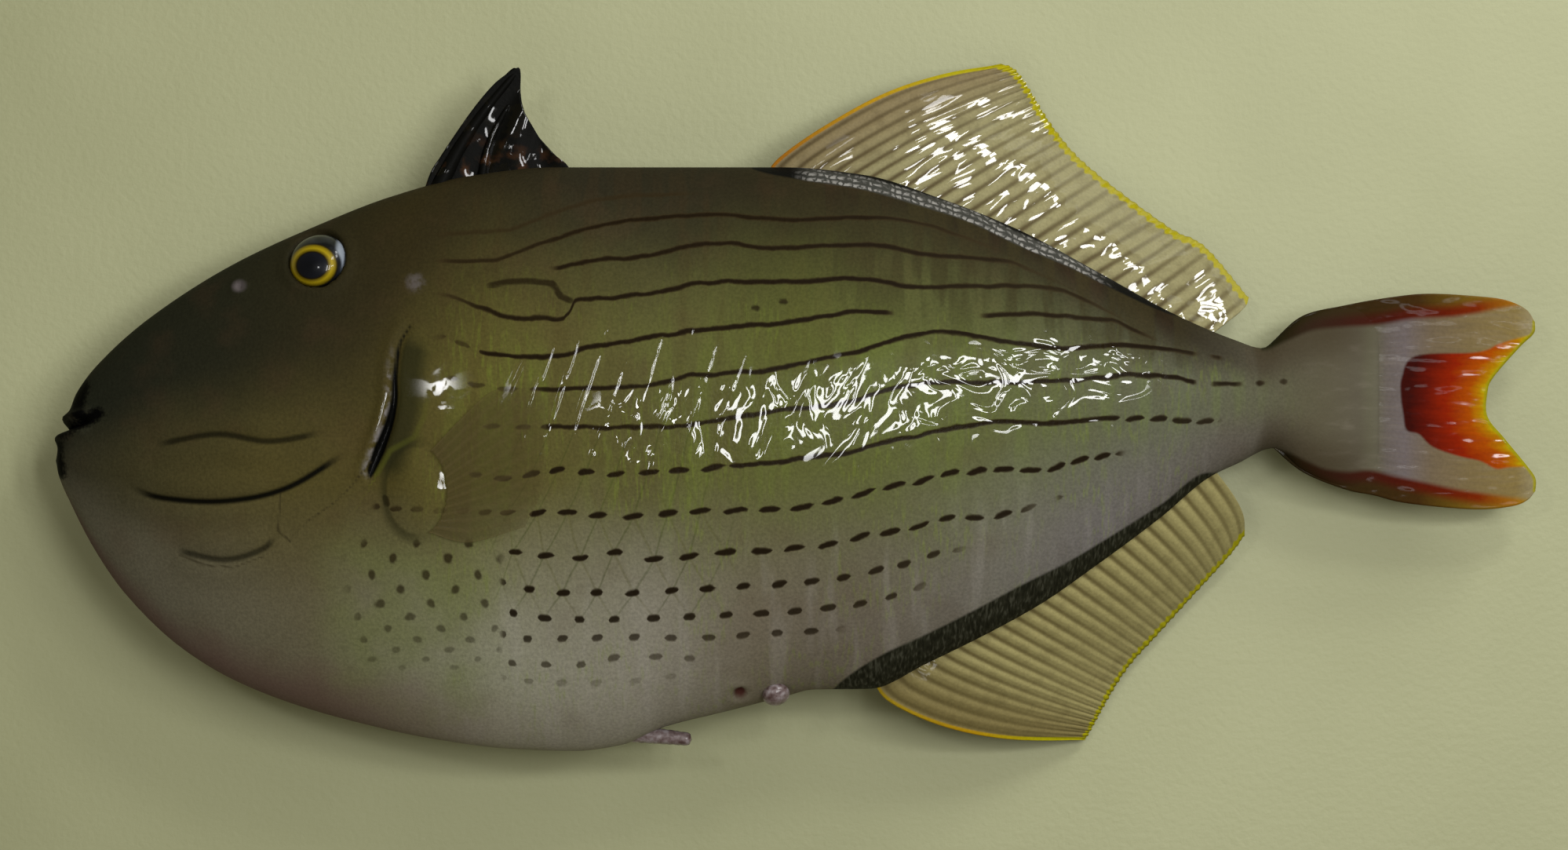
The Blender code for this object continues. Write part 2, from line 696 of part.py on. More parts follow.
def build_body():
    body = body_loft("body")
    for side in (1, -1):
        add_lid(body, side)
        add_lobe(body, side)
    add_lips(body)
    for side in (1, -1):
        cut_details(body, side)
    cut_mouth(body)
    x, y, radius = VENT
    vent = ellipsoid("vent", on_flank(x, y, 1), frame_from(flank_normal(x, y, 1)), (radius, radius * 0.8, 1.2), 10, 6)
    combine(body, vent, "DIFFERENCE")
    combine(body, papilla("papilla_room", PART_GAP), "DIFFERENCE")
    combine(body, pelvic_spine("pelvic_room", PART_GAP), "DIFFERENCE")
    level_floor(body)
    return body


def main():
    clear_scene()
    body = build_body()
    head = part_between(body, "head", before=HEAD_PLANE)
    trunk = part_between(body, "trunk", behind=HEAD_PLANE, before=STEM_PLANE)
    stem = part_between(body, "tail_stem", behind=STEM_PLANE, before=FIN_PLANE)
    tail = part_between(body, "caudal_fin", behind=FIN_PLANE)
    remove(body)
    combine(tail, caudal_fin_sheet("sheet", **CAUDAL), "UNION")
    dark, olive, pale = (0.16, 0.15, 0.09), (0.33, 0.35, 0.2), (0.55, 0.5, 0.36)
    finish(head, (0.27, 0.25, 0.14))
    finish(trunk, olive)
    finish(stem, (0.42, 0.42, 0.38))
    finish(tail, (0.6, 0.3, 0.16))
    finish(spiny_fin("first_dorsal_fin"), dark)
    finish(median_fin("second_dorsal_fin", **SOFT_DORSAL), pale)
    finish(median_fin("anal_fin", **ANAL), pale)
    finish(pectoral_fin("pectoral_fin_left", 1, **PECTORAL), pale)
    finish(pectoral_fin("pectoral_fin_right", -1, **FOLDED_PECTORAL), pale)
    finish(pelvic_spine("pelvic_spine"), dark)
    finish(papilla("anal_papilla"), (0.5, 0.3, 0.28))
    finish(eye("eye_left", 1), (0.05, 0.06, 0.08))
    finish(eye("eye_right", -1), (0.05, 0.06, 0.08))


main()
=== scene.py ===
import math

import bpy
import numpy as np
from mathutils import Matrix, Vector


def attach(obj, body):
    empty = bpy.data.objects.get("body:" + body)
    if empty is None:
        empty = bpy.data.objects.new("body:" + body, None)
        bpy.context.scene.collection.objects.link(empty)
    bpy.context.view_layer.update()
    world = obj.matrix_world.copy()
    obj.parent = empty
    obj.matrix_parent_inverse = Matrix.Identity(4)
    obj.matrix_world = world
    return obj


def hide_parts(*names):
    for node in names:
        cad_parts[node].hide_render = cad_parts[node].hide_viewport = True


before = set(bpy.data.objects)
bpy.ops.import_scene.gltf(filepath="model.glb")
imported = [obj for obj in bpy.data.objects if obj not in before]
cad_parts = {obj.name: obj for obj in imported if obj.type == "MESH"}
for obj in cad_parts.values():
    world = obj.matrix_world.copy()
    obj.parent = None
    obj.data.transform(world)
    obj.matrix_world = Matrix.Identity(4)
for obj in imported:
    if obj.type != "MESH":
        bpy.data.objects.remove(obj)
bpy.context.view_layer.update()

# Sizes are in millimetres, as in the solids. The nose points to -X, the back to +Y, the left flank up.
MM = 0.001
MID_HEIGHT = 17.6
TAIL_DROOP = 8.0
NOSE_X = -131.2
TAIL_TIP_X = 130.8
TAIL_FOOT_X = 83.0
SKIN_END_X = 102.3
SECTION_POWER = 1.06
FLOOR_CLEARANCE = 0.02

# The skin's grid: stations from nose to tail, points round each, and how many of those lie on the left flank.
SKIN_STATIONS = 330
SKIN_RING = 280
LEFT_POINTS = 170
NOSE_STATIONS = 40
NOSE_LENGTH = 13.2

# The camera hangs where the photo was taken from. One of the photo's pixels covers PIXEL at the middle of the
# body, a little less where the skin stands nearer the camera, and more where it lies lower.
CAMERA_AT = (-3.2, -3.9, 650.0)
MID_DISTANCE = 632.4
PHOTO_CENTRE = (999, 541.5)
PHOTO_SPAN = 275.724
PIXEL = 0.138
FLANK_PIXEL = 0.1355
BACK_PIXEL = 0.137
BELLY_PIXEL = 0.139
TAIL_PIXEL = 0.14
CRESCENT_PIXEL = 0.1405
SENSOR_WIDTH = 36

BACK_LINE = (
    (-131.2, -10.0), (-130.3, -5.5), (-128.9, -2.0), (-127.5, 1.8), (-122.4, 8.2),
    (-113.5, 15.8), (-99.7, 24.5), (-85.9, 30.9), (-72.1, 36.3), (-58.3, 39.9),
    (-44.0, 41.4), (-20.0, 41.4), (-3.1, 41.4), (10.7, 40.1), (24.5, 35.9),
    (38.3, 30.4), (52.1, 23.1), (65.9, 15.6), (76.3, 11.2), (81.4, 9.7),
    (84.7, 12.2), (88.6, 15.2), (96.2, 17.3), (102.3, 18.2),
)
BELLY_LINE = (
    (-131.2, -10.4), (-130.6, -12.9), (-128.6, -17.5), (-124.5, -25.5), (-119.0, -33.5),
    (-109.3, -42.9), (-99.7, -48.8), (-88.6, -53.2), (-77.6, -56.3), (-65.2, -59.0),
    (-51.4, -60.8), (-40.0, -61.2), (-32.0, -60.2), (-24.0, -56.9), (-13.6, -54.3),
    (-3.0, -51.6), (2.0, -50.4), (11.8, -50.3), (21.8, -45.9), (41.1, -36.0),
    (52.1, -28.5), (63.2, -20.3), (72.0, -13.1), (77.0, -10.7), (83.3, -8.0),
    (88.6, -12.0), (96.2, -15.2), (102.3, -16.4),
)
HALF_WIDTH = (
    (-131.2, 0.0), (-130.3, 2.6), (-128.9, 4.2), (-126.0, 6.0), (-122.4, 7.6),
    (-113.5, 10.9), (-99.7, 14.2), (-85.9, 16.2), (-72.0, 16.9), (-64.0, 17.2),
    (-45.0, 18.4), (-28.0, 18.7), (-10.0, 18.2), (5.0, 17.0), (20.0, 14.9),
    (38.0, 11.7), (52.0, 9.0), (66.0, 6.7), (76.0, 5.4), (82.0, 4.7),
    (90.0, 3.2), (97.0, 1.4), (100.0, 0.75), (102.3, 0.45),
)
WIDEST_LINE = ((-131.2, -10.2), (-100.0, -12.0), (-60.0, -11.0), (0.0, -5.0), (60.0, 0.0), (102.3, 1.0))

EYE_CENTRE = (-84.3, 25.0)
EYE_RADIUS = 5.1
EYE_DEPTH = 3.4
EYE_SINK = 1.0
PUPIL = (-84.8, 23.7)
IRIS_RADII = (4.45, 3.8)
MOUTH_CORNER = (-124.0, -2.8)
MOUTH_SLOPE = 0.3
GILL_SLIT = (
    (-67.2, 13.5), (-69.2, 9.9), (-69.9, 4.4), (-70.0, 0.4), (-71.1, -4.4), (-73.6, -11.0), (-74.4, -13.6),
)
GILL_WIDTH = ((0.0, 0.15), (0.2, 0.35), (0.45, 0.6), (0.8, 1.0), (0.93, 0.8), (1.0, 0.0))
CHEEK_GROOVES = (
    ((-112.5, -7.5), (-101.0, -5.5), (-91.5, -6.7), (-81.9, -5.2)),
    ((-117.0, -14.6), (-110.5, -16.5), (-99.6, -17.0), (-88.7, -14.8), (-77.9, -8.5)),
    ((-108.5, -25.5), (-99.6, -27.1), (-92.8, -25.2), (-90.4, -22.7)),
)
NOSTRILS = ((-97.9, 20.2, 0.75), (-95.8, 21.4, 0.35))
LOBE_CENTRE = (-66.1, -15.1)
LOBE_RADII = (5.3, 7.7)
RECESS_CENTRE = (-60.0, -23.0)
RECESS_RADII = (16.0, 21.0)
RECESS_DEPTH = 3.0
VENT = (-10.8, -50.6, 1.0)
# Where a pale violet sheen is painted on the skin behind the eye.
SHEEN_BEHIND_EYE = (-66.7, 20.6)
PAPILLA = (-4.6, -50.9, 2.3)
PELVIC_SPINE = ((-31.0, -58.0), (-19.4, -59.2), 1.6, 1.1)

SOFT_DORSAL = dict(
    rays=28, base=(-6.4, 71.5), side=1,
    lead=((-4.2, 42.9), (3.4, 48.4), (14.2, 54.6), (24.6, 58.4), (35.9, 60.9)),
    edge=((35.9, 60.9), (39.2, 59.0), (45.5, 49.3), (52.0, 42.2), (65.9, 31.7), (72.4, 28.1), (80.0, 18.8)),
    trail=((75.0, 14.0), (78.9, 16.9), (80.0, 18.8)),
    tip_heights=(4.5, 2.2, 2.0, 5.0),
    fan=((0, 0), (0.25, 0.16), (0.5, 0.4), (0.72, 0.69), (1, 1)),
)
ANAL = dict(
    rays=26, base=(12.2, 72.4), side=-1,
    lead=((15.4, -52.6), (24.7, -57.0), (36.3, -59.7), (51.0, -60.7)),
    edge=((51.0, -60.7), (57.8, -48.7), (64.5, -40.9), (75.8, -28.2), (79.2, -23.6)),
    trail=((76.4, -16.2), (78.5, -19.8), (79.2, -23.6)),
    tip_heights=(1.6, 2.4, 3.2, 5.5),
    fan=((0, 0), (0.25, 0.16), (0.5, 0.42), (0.75, 0.72), (1, 1)),
)
CAUDAL = dict(
    rays=14,
    base=((83.0, 10.6), (83.0, -7.6)),
    lead=(
        (83.0, 10.6), (88.6, 15.4), (96.2, 17.3), (104.0, 18.7), (111.3, 19.4), (121.0, 18.9), (125.5, 18.2),
        (128.9, 16.6), (130.4, 14.4),
    ),
    edge=(
        (130.4, 14.4), (130.2, 12.4), (127.6, 9.9), (122.9, 4.6), (121.8, 1.9), (121.8, -2.4),
        (124.9, -6.3), (129.0, -11.2), (130.5, -13.4), (130.5, -15.6),
    ),
    trail=(
        (83.0, -7.6), (88.6, -12.2), (96.2, -15.3), (101.5, -16.4), (107.4, -17.8), (119.2, -18.9), (126.0, -18.4),
        (129.0, -17.3), (130.5, -15.6),
    ),
)
PECTORAL = dict(
    rays=13, side=1, lift=0.35, spread=0.8, arc=(62.0, -68.0),
    lead=((-57.8, -2.2), (-53.2, 1.8), (-49.0, 2.4)),
    edge=((-49.0, 2.4), (-44.6, 1.6), (-43.6, -6.4), (-44.3, -14.6), (-47.4, -21.3)),
    trail=((-57.1, -24.0), (-47.4, -21.3)),
)
FOLDED_PECTORAL = dict(
    rays=13, side=-1, lift=0.5, spread=0.0, arc=(5.0, -100.0),
    lead=((-55.4, -15.5), (-49.8, -22.2), (-46.9, -28.0)),
    edge=((-46.9, -28.0), (-47.6, -33.0), (-53.6, -36.4), (-60.6, -36.4)),
    trail=((-66.2, -27.4), (-60.6, -36.4)),
)
SPINY_WEB = dict(
    base=((-67.6, 33.6), (-56.0, 37.4), (-44.0, 38.6), (-38.6, 38.4)),
    lead=(
        (-67.6, 33.6), (-65.4, 40.2), (-63.7, 43.0), (-61.0, 47.1), (-57.6, 51.9), (-54.1, 56.0), (-51.0, 58.3),
    ),
    edge=((-51.0, 58.3), (-49.6, 58.6), (-49.4, 52.9), (-47.2, 48.1), (-44.5, 44.6), (-41.6, 42.0)),
    trail=((-38.6, 38.4), (-41.6, 42.0)),
)
SPINES = (
    ((-65.2, 35.0), (-50.2, 58.2), 1.7, 0.55),
    ((-56.4, 37.4), (-51.4, 52.6), 1.0, 0.4),
    ((-49.4, 38.6), (-48.0, 46.6), 0.8, 0.35),
)

# Stripes of the flank, from the back down: where each runs in the photo's pixels, how strong it is along its way,
# and where it breaks up into dashes.
STRIPES = (
    (((430, 306), (560, 298), (646, 293), (705, 272), (784, 252), (870, 247), (1000, 246), (1100, 256),
      (1232, 296), (1368, 356), (1504, 416), (1700, 436)),
     ((540, 0), (575, 0.45), (860, 0.45), (900, 0)), ((0, 0), (2000, 0))),
    (((430, 334), (560, 334), (629, 333), (663, 320), (732, 296), (801, 281), (853, 276), (904, 273),
      (1008, 280), (1107, 276), (1213, 292), (1368, 358), (1504, 420), (1700, 440)),
     ((545, 0), (575, 0.7), (800, 0.9), (1100, 0.9), (1213, 0.6), (1300, 0)), ((0, 0), (2000, 0))),
    (((430, 352), (620, 350), (710, 341), (725, 336), (767, 331), (822, 326), (887, 312), (932, 309),
      (973, 317), (1025, 314), (1107, 312), (1192, 326), (1273, 330), (1368, 364), (1504, 424), (1700, 444)),
     ((700, 0), (712, 0.9), (1100, 0.9), (1273, 0.8), (1330, 0.3), (1400, 0)), ((0, 0), (2000, 0))),
    (((430, 364), (560, 374), (584, 381), (605, 388), (646, 403), (674, 407), (711, 407), (724, 400),
      (729, 384), (753, 381), (801, 377), (835, 372), (870, 364), (904, 359), (956, 359), (1042, 358),
      (1077, 354), (1115, 358), (1171, 367), (1230, 364), (1299, 364), (1384, 372), (1504, 428), (1700, 448)),
     ((545, 0), (570, 0.5), (620, 0.9), (1100, 1.0), (1384, 0.7), (1450, 0)), ((0, 0), (2000, 0))),
    (((430, 430), (560, 430), (620, 450), (663, 455), (708, 454), (746, 444), (773, 438), (818, 431),
      (870, 424), (922, 417), (973, 413), (1025, 407), (1089, 397), (1136, 399), (1254, 403), (1301, 400),
      (1372, 404), (1443, 408), (1513, 430), (1700, 452)),
     ((540, 0), (570, 0.5), (600, 0.5), (620, 1.0), (1130, 1.0), (1142, 0), (1246, 0), (1258, 0.9),
      (1450, 0.8), (1480, 0)), ((560, 1), (605, 1), (612, 0), (2000, 0))),
    (((430, 486), (585, 483), (610, 491), (690, 497), (753, 493), (801, 493), (846, 488), (887, 477),
      (939, 475), (973, 472), (1025, 462), (1064, 454), (1107, 443), (1162, 426), (1205, 421), (1239, 426),
      (1299, 438), (1363, 444), (1427, 439), (1482, 443), (1518, 447), (1550, 454), (1700, 470)),
     ((560, 0), (575, 0.5), (670, 0.5), (695, 0.9), (1100, 1.0), (1480, 1.0), (1520, 0.8), (1529, 0),
      (1541, 0), (1547, 0.8), (1553, 0.8), (1560, 0)), ((600, 1), (670, 1), (690, 0), (2000, 0))),
    (((430, 540), (607, 542), (694, 544), (801, 544), (853, 544), (891, 539), (932, 532), (966, 527),
      (1083, 511), (1141, 494), (1183, 488), (1273, 487), (1363, 485), (1448, 477), (1491, 479), (1521, 487),
      (1570, 489), (1606, 488), (1640, 486), (1700, 486)),
     ((590, 0), (605, 0.5), (680, 0.6), (700, 0.9), (1521, 1.0), (1527, 0), (1544, 0), (1548, 0.9),
      (1578, 0.9), (1584, 0), (1599, 0), (1603, 0.9), (1608, 0.9), (1613, 0), (1630, 0), (1633, 0.8),
      (1638, 0.8), (1642, 0)), ((640, 1), (680, 1), (695, 0), (2000, 0))),
    (((430, 590), (571, 596), (604, 603), (639, 611), (677, 605), (711, 599), (746, 601), (784, 604),
      (826, 602), (866, 600), (905, 597), (1000, 587), (1085, 575), (1141, 561), (1205, 548), (1239, 541),
      (1290, 538), (1337, 540), (1410, 533), (1476, 534), (1512, 538), (1548, 537), (1700, 526)),
     ((590, 0), (604, 0.7), (700, 1.0), (1410, 1.0), (1547, 0.8), (1558, 0)),
     ((0, 1), (905, 1), (935, 0), (1412, 0), (1424, 1), (2000, 1))),
    (((430, 645), (653, 653), (720, 653), (760, 656), (802, 657), (847, 653), (892, 652), (983, 649),
      (1029, 645), (1068, 637), (1106, 627), (1145, 619), (1180, 611), (1207, 603), (1255, 600), (1291, 598),
      (1332, 599), (1372, 587), (1396, 583), (1421, 579), (1700, 548)),
     ((470, 0), (480, 0.7), (560, 0.3), (640, 0.7), (680, 1.0), (1421, 1.0), (1436, 0)), ((0, 1), (2000, 1))),
    (((430, 690), (507, 676), (558, 682), (653, 702), (693, 709), (739, 711), (782, 704), (834, 713),
      (878, 709), (925, 703), (970, 702), (1054, 695), (1096, 685), (1135, 678), (1172, 670), (1207, 660),
      (1253, 660), (1288, 655), (1359, 632), (1700, 560)),
     ((424, 0), (450, 0.7), (500, 0.9), (640, 0.95), (800, 1.0), (1290, 0.9), (1345, 0), (1352, 0.7),
      (1366, 0)),
     ((0, 1), (2000, 1))),
    (((430, 722), (504, 711), (568, 712), (665, 750), (711, 755), (759, 756), (808, 757), (862, 752),
      (970, 746), (1079, 736), (1118, 727), (1155, 718), (1191, 706), (1225, 701), (1400, 655), (1700, 572)),
     ((424, 0), (434, 0.7), (560, 0.95), (665, 0.95), (900, 0.95), (1200, 0.75), (1240, 0)), ((0, 1), (2000, 1))),
    (((430, 745), (479, 741), (546, 735), (621, 771), (685, 788), (728, 790), (782, 789), (838, 788),
      (891, 786), (1000, 780), (1097, 770), (1132, 761), (1206, 736), (1400, 690), (1700, 584)),
     ((424, 0), (434, 0.7), (620, 0.9), (890, 0.85), (1140, 0.75), (1215, 0)), ((0, 1), (2000, 1))),
    (((430, 765), (483, 767), (552, 769), (633, 805), (676, 814), (730, 813), (808, 812), (867, 813),
      (1000, 806), (1040, 804), (1077, 801), (1200, 780), (1700, 600)),
     ((424, 0), (434, 0.6), (620, 0.8), (870, 0.6), (1040, 0.75), (1090, 0)), ((0, 1), (2000, 1))),
    (((430, 800), (522, 787), (590, 790), (624, 838), (672, 848), (733, 848), (787, 838), (843, 837),
      (890, 840), (1000, 838), (1200, 820), (1700, 620)),
     ((424, 0), (434, 0.5), (620, 0.6), (890, 0.45), (910, 0)), ((0, 1), (2000, 1))),
    (((430, 835), (504, 829), (571, 830), (640, 862), (692, 869), (795, 868), (862, 862), (1000, 862),
      (1200, 850), (1700, 640)),
     ((480, 0), (510, 0.45), (640, 0.35), (862, 0.25), (880, 0)), ((0, 1), (2000, 1))),
)

# The dashes stand in columns along the rows: which column each of the photo's x is in, on the upper rows and on
# the lower ones. From one row to the next the columns shift by half a step, counted from LATTICE_ROW.
UPPER_COLUMNS = (
    (380, -7.6), (430, -5.8), (604, 0), (639, 1), (677, 2), (711, 3), (746, 4), (784, 5), (826, 6), (866, 7),
    (905, 8), (1000, 10.2), (1200, 15.5), (1430, 22.5), (1477, 24), (1547, 26.4), (1700, 33),
)
LOWER_COLUMNS = (
    (380, -8.6), (430, -6.6), (653, 2), (693, 3), (739, 4), (782, 5), (834, 6), (878, 7), (925, 8), (970, 9),
    (1054, 11), (1096, 12), (1135, 13), (1172, 14), (1207, 15), (1288, 17.3), (1359, 19.5), (1700, 33),
)
LATTICE_ROW = 7

# The crossing rows of spots on the breast, in the photo's pixels: where they start, how far each kind of row leans
# from one crossing to the next, and at which height the crossings lie.
BREAST_START = 493
DOWN_SLANT = 29
UP_SLANT = 39
DOWN_SLANT_MM = 3.93
UP_SLANT_MM = 5.28
BREAST_ROWS = (
    (650, -8.5), (692, -6), (711, -5), (733, -4), (751, -3), (769, -2), (786, -1), (801, 0), (815, 1), (828, 2),
    (840, 3), (851, 4), (890, 8),
)

# Borders of the dark sheaths under the two soft fins, of the tail's dark bands and of its crescent, and the rim of
# the gill flap, in the photo's pixels.
DORSAL_SHEATH = (
    (900, 170), (950, 205), (960, 216), (1014, 228), (1096, 241), (1164, 260), (1232, 282), (1300, 314),
    (1368, 343), (1413, 366), (1504, 404), (1545, 410), (1600, 380),
)
ANAL_SHEATH = (
    (800, 1400), (1010, 980), (1045, 893), (1064, 876), (1072, 868), (1120, 836), (1180, 808), (1240, 778),
    (1300, 746), (1360, 716), (1420, 680), (1480, 642), (1540, 602), (1570, 606), (1620, 640),
)
TAIL_TOP_BAND = (
    (1400, -300), (1590, 380), (1608, 446), (1640, 434), (1677, 420), (1705, 417), (1753, 414), (1803, 406),
    (1845, 404), (1880, 399), (1910, 393), (1935, 389), (1975, 384),
)
TAIL_LOWER_BAND = (
    (1400, 1500), (1590, 650), (1618, 574), (1636, 575), (1664, 587), (1691, 598), (1719, 601), (1742, 599),
    (1775, 606), (1817, 615), (1859, 624), (1900, 630), (1935, 635), (1980, 641),
)
CRESCENT = (
    (1985, 420), (1942, 429), (1909, 439), (1895, 446), (1873, 450), (1803, 454), (1786, 481), (1785, 506),
    (1788, 528), (1792, 548), (1808, 553), (1825, 569), (1859, 581), (1886, 587), (1906, 597), (1925, 595),
    (1985, 594),
)
FLAP_RIM = ((480, 604), (497, 574), (528, 557), (541, 530), (545, 495), (545, 462))

# Black skin round the mouth, and fine creases of the gill cover, along which shade is painted.
LIPS = (
    ((106, 492), (101, 508), (99, 524), (110, 536), (124, 527)),
    ((82, 552), (92, 545), (110, 536)),
    ((72, 566), (72, 580), (76, 602)),
)
CREASES = (
    ((357, 628), (357, 650), (354, 676), (370, 690)),
    ((373, 683), (393, 663), (427, 640), (450, 617), (473, 587)),
    ((228, 706), (262, 720), (300, 722), (338, 708)),
)

# Short pieces of line and single dots between the stripes.
SHORT_LINES = (
    ((624, 364), (646, 359), (674, 358), (705, 361), (709, 369), (713, 377), (729, 384)),
    ((961, 392), (965, 393)),
    ((996, 384), (1001, 384)),
    ((1604, 488), (1607, 488)),
    ((1634, 486), (1637, 486)),
    ((491, 634), (493, 642)),
)

# Where the wet film on the flank lies thick and how wide above and below, where the edges of the scale rows catch
# the light, and the smaller wet spots behind the gill slit, each with its size.
GLINT_POOL = ((800, 540), (880, 530), (1130, 500), (1390, 462))
POOL_WIDTHS = (84, 52)
CREASED = ((700, 510), (860, 500))
CREASED_WIDTH = 95
WET_SPOTS = ((561, 491, 17), (567, 525, 9), (566, 604, 8), (562, 625, 10), (557, 645, 7))


# Measuring


def smooth_curve(points):
    """A function through the given (x, value) pairs that never overshoots them."""
    xs, ys = np.array(points, float).T
    step = np.diff(xs)
    rise = np.diff(ys) / step
    slopes = np.zeros(len(xs))
    slopes[0], slopes[-1] = rise[0], rise[-1]
    for i in range(1, len(xs) - 1):
        if rise[i - 1] * rise[i] > 0:
            slopes[i] = 2 * rise[i - 1] * rise[i] / (rise[i - 1] + rise[i])

    def value(x):
        x = np.clip(x, xs[0], xs[-1])
        i = np.clip(np.searchsorted(xs, x, side="right") - 1, 0, len(step) - 1)
        h = step[i]
        t = (x - xs[i]) / h
        return (
            (1 + 2 * t) * (1 - t) ** 2 * ys[i]
            + t * (1 - t) ** 2 * h * slopes[i]
            + t * t * (3 - 2 * t) * ys[i + 1]
            + t * t * (t - 1) * h * slopes[i + 1]
        )

    return value


back_at = smooth_curve(BACK_LINE)
belly_at = smooth_curve(BELLY_LINE)
width_at = smooth_curve(HALF_WIDTH)
widest_at = smooth_curve(WIDEST_LINE)


def mid_height(x):
    return MID_HEIGHT - TAIL_DROOP * np.maximum(0.0, np.asarray(x) / TAIL_TIP_X) ** 1.6


def smoothstep(low, high, x):
    t = np.clip((x - low) / (high - low), 0.0, 1.0)
    return t * t * (3 - 2 * t)


def bump_at(distance, width):
    """1 on a line or a place, falling softly to 0 within about twice the width."""
    return np.exp(-((distance / width) ** 2))


def oval_reach(x, y, centre, radii):
    """0 at the centre of an oval and 1 on its rim."""
    return np.hypot((x - centre[0]) / radii[0], (y - centre[1]) / radii[1])


def recess(x, y):
    """How far the right flank is hollowed where the folded fin lies."""
    return RECESS_DEPTH * (1 - smoothstep(0.35, 1.3, oval_reach(x, y, RECESS_CENTRE, RECESS_RADII)))


def highness(x, y):
    """1 at the back line, 0 on the widest line and -1 at the belly line."""
    mid = widest_at(x)
    reach = np.where(y > mid, back_at(x) - mid, mid - belly_at(x))
    return np.clip((y - mid) / np.maximum(reach, 0.01), -1, 1)


def flank(x, y, side):
    """Height of the skin over the floor; side is 1 for the left flank, -1 for the right."""
    full = np.sqrt(1 - highness(x, y) ** 2)
    half = width_at(x) * full**SECTION_POWER
    return mid_height(x) + side * (half - (recess(x, y) * full if side < 0 else 0))


def flank_normal(x, y, side):
    d = 0.5
    slope_x = (flank(x + d, y, side) - flank(x - d, y, side)) / (2 * d)
    slope_y = (flank(x, y + d, side) - flank(x, y - d, side)) / (2 * d)
    return (Vector((-slope_x, -slope_y, 1.0)) * side).normalized()


def rounded(points, samples=600):
    """Evenly spaced places along a rounded line through the given ones."""
    given = np.array(points, float)
    if len(given) > 2:
        padded = np.vstack([2 * given[0] - given[1], given, 2 * given[-1] - given[-2]])
        dense = []
        for p0, p1, p2, p3 in zip(padded, padded[1:], padded[2:], padded[3:]):
            for t in np.linspace(0, 1, 12, endpoint=False):
                dense.append(
                    0.5 * (2 * p1 + (p2 - p0) * t + (2 * p0 - 5 * p1 + 4 * p2 - p3) * t * t
                           + (3 * p1 - p0 - 3 * p2 + p3) * t**3)
                )
        given = np.array(dense + [given[-1]])
    run = np.concatenate([[0], np.cumsum(np.linalg.norm(np.diff(given, axis=0), axis=1))])
    where = np.linspace(0, run[-1], samples)
    return np.stack([np.interp(where, run, given[:, i]) for i in range(2)], axis=1)


def walk(points):
    """A function giving the place at any share of the way along a rounded line."""
    line = rounded(points)
    shares = np.linspace(0, 1, len(line))
    return lambda t: np.stack([np.interp(t, shares, line[:, i]) for i in range(2)], axis=1)


def patch(base, edge, lead, trail, fan=((0, 0), (1, 1)), reach=(3, 5)):
    """A function giving the place inside four border lines. Lines of one u are rays, nearly straight away from the
    borders; fan tells which share of the edge a ray from each share of the base runs to."""
    foot, tip, first, last = walk(base), walk(edge), walk(lead), walk(trail)
    spread = smooth_curve(fan)
    start, end = np.zeros(1), np.ones(1)

    def place(u, v):
        u2, v2 = u[:, None], v[:, None]
        straight = (1 - v2) * foot(u) + v2 * tip(spread(u))
        first_bow = first(v) - (1 - v2) * foot(start) - v2 * tip(start)
        last_bow = last(v) - (1 - v2) * foot(end) - v2 * tip(end)
        return straight + (1 - u2) ** reach[0] * first_bow + u2 ** reach[1] * last_bow

    return place


def line_distance(x, y, points):
    """Distance to a line, its sign telling the side, and the share of the line where it is nearest."""
    line = np.array(points, float)
    lengths = np.linalg.norm(np.diff(line, axis=0), axis=1)
    starts = np.concatenate([[0], np.cumsum(lengths)])
    best = np.full(x.shape, 1e9)
    side = np.ones(x.shape)
    share = np.zeros(x.shape)
    for (ax, ay), (bx, by), length, start in zip(line, line[1:], lengths, starts):
        dx, dy = bx - ax, by - ay
        t = np.clip(((x - ax) * dx + (y - ay) * dy) / length**2, 0, 1)
        ex, ey = x - ax - t * dx, y - ay - t * dy
        distance = np.hypot(ex, ey)
        nearer = distance < best
        best = np.where(nearer, distance, best)
        side = np.where(nearer, np.sign(dx * ey - dy * ex), side)
        share = np.where(nearer, (start + t * length) / starts[-1], share)
    return best * side, share


def photo_place(x, y, z):
    """Where the photo shows a place, in its pixels. The right flank is marked as the left one is."""
    middle = mid_height(x)
    scale = PIXEL * (CAMERA_AT[2] - middle - np.abs(z - middle)) / MID_DISTANCE
    return PHOTO_CENTRE[0] + (x - CAMERA_AT[0]) / scale, PHOTO_CENTRE[1] - (y - CAMERA_AT[1]) / scale


# Making pieces


def grid_piece(name, across, along, place):
    """A grid carried onto the surface that place(u, v) gives in millimetres, with u and v as its UV map."""
    bpy.ops.object.select_all(action="DESELECT")
    bpy.ops.mesh.primitive_grid_add(x_subdivisions=across, y_subdivisions=along, size=1)
    made = bpy.context.object
    made.name = name
    made.data.name = name
    uv = points_of(made)[:, :2] * MM + 0.5
    corners = np.empty(len(made.data.loops), np.int32)
    made.data.loops.foreach_get("vertex_index", corners)
    made.data.uv_layers[0].data.foreach_set("uv", uv[corners].ravel())
    move_points(made, place(*uv.T))
    return made, uv


def points_of(piece):
    flat = np.empty(len(piece.data.vertices) * 3)
    piece.data.vertices.foreach_get("co", flat)
    return flat.reshape(-1, 3) / MM


def move_points(piece, points):
    piece.data.vertices.foreach_set("co", (points * MM).ravel())
    piece.data.update()


def normals_of(piece):
    flat = np.empty(len(piece.data.vertices) * 3)
    piece.data.vertices.foreach_get("normal", flat)
    return flat.reshape(-1, 3)


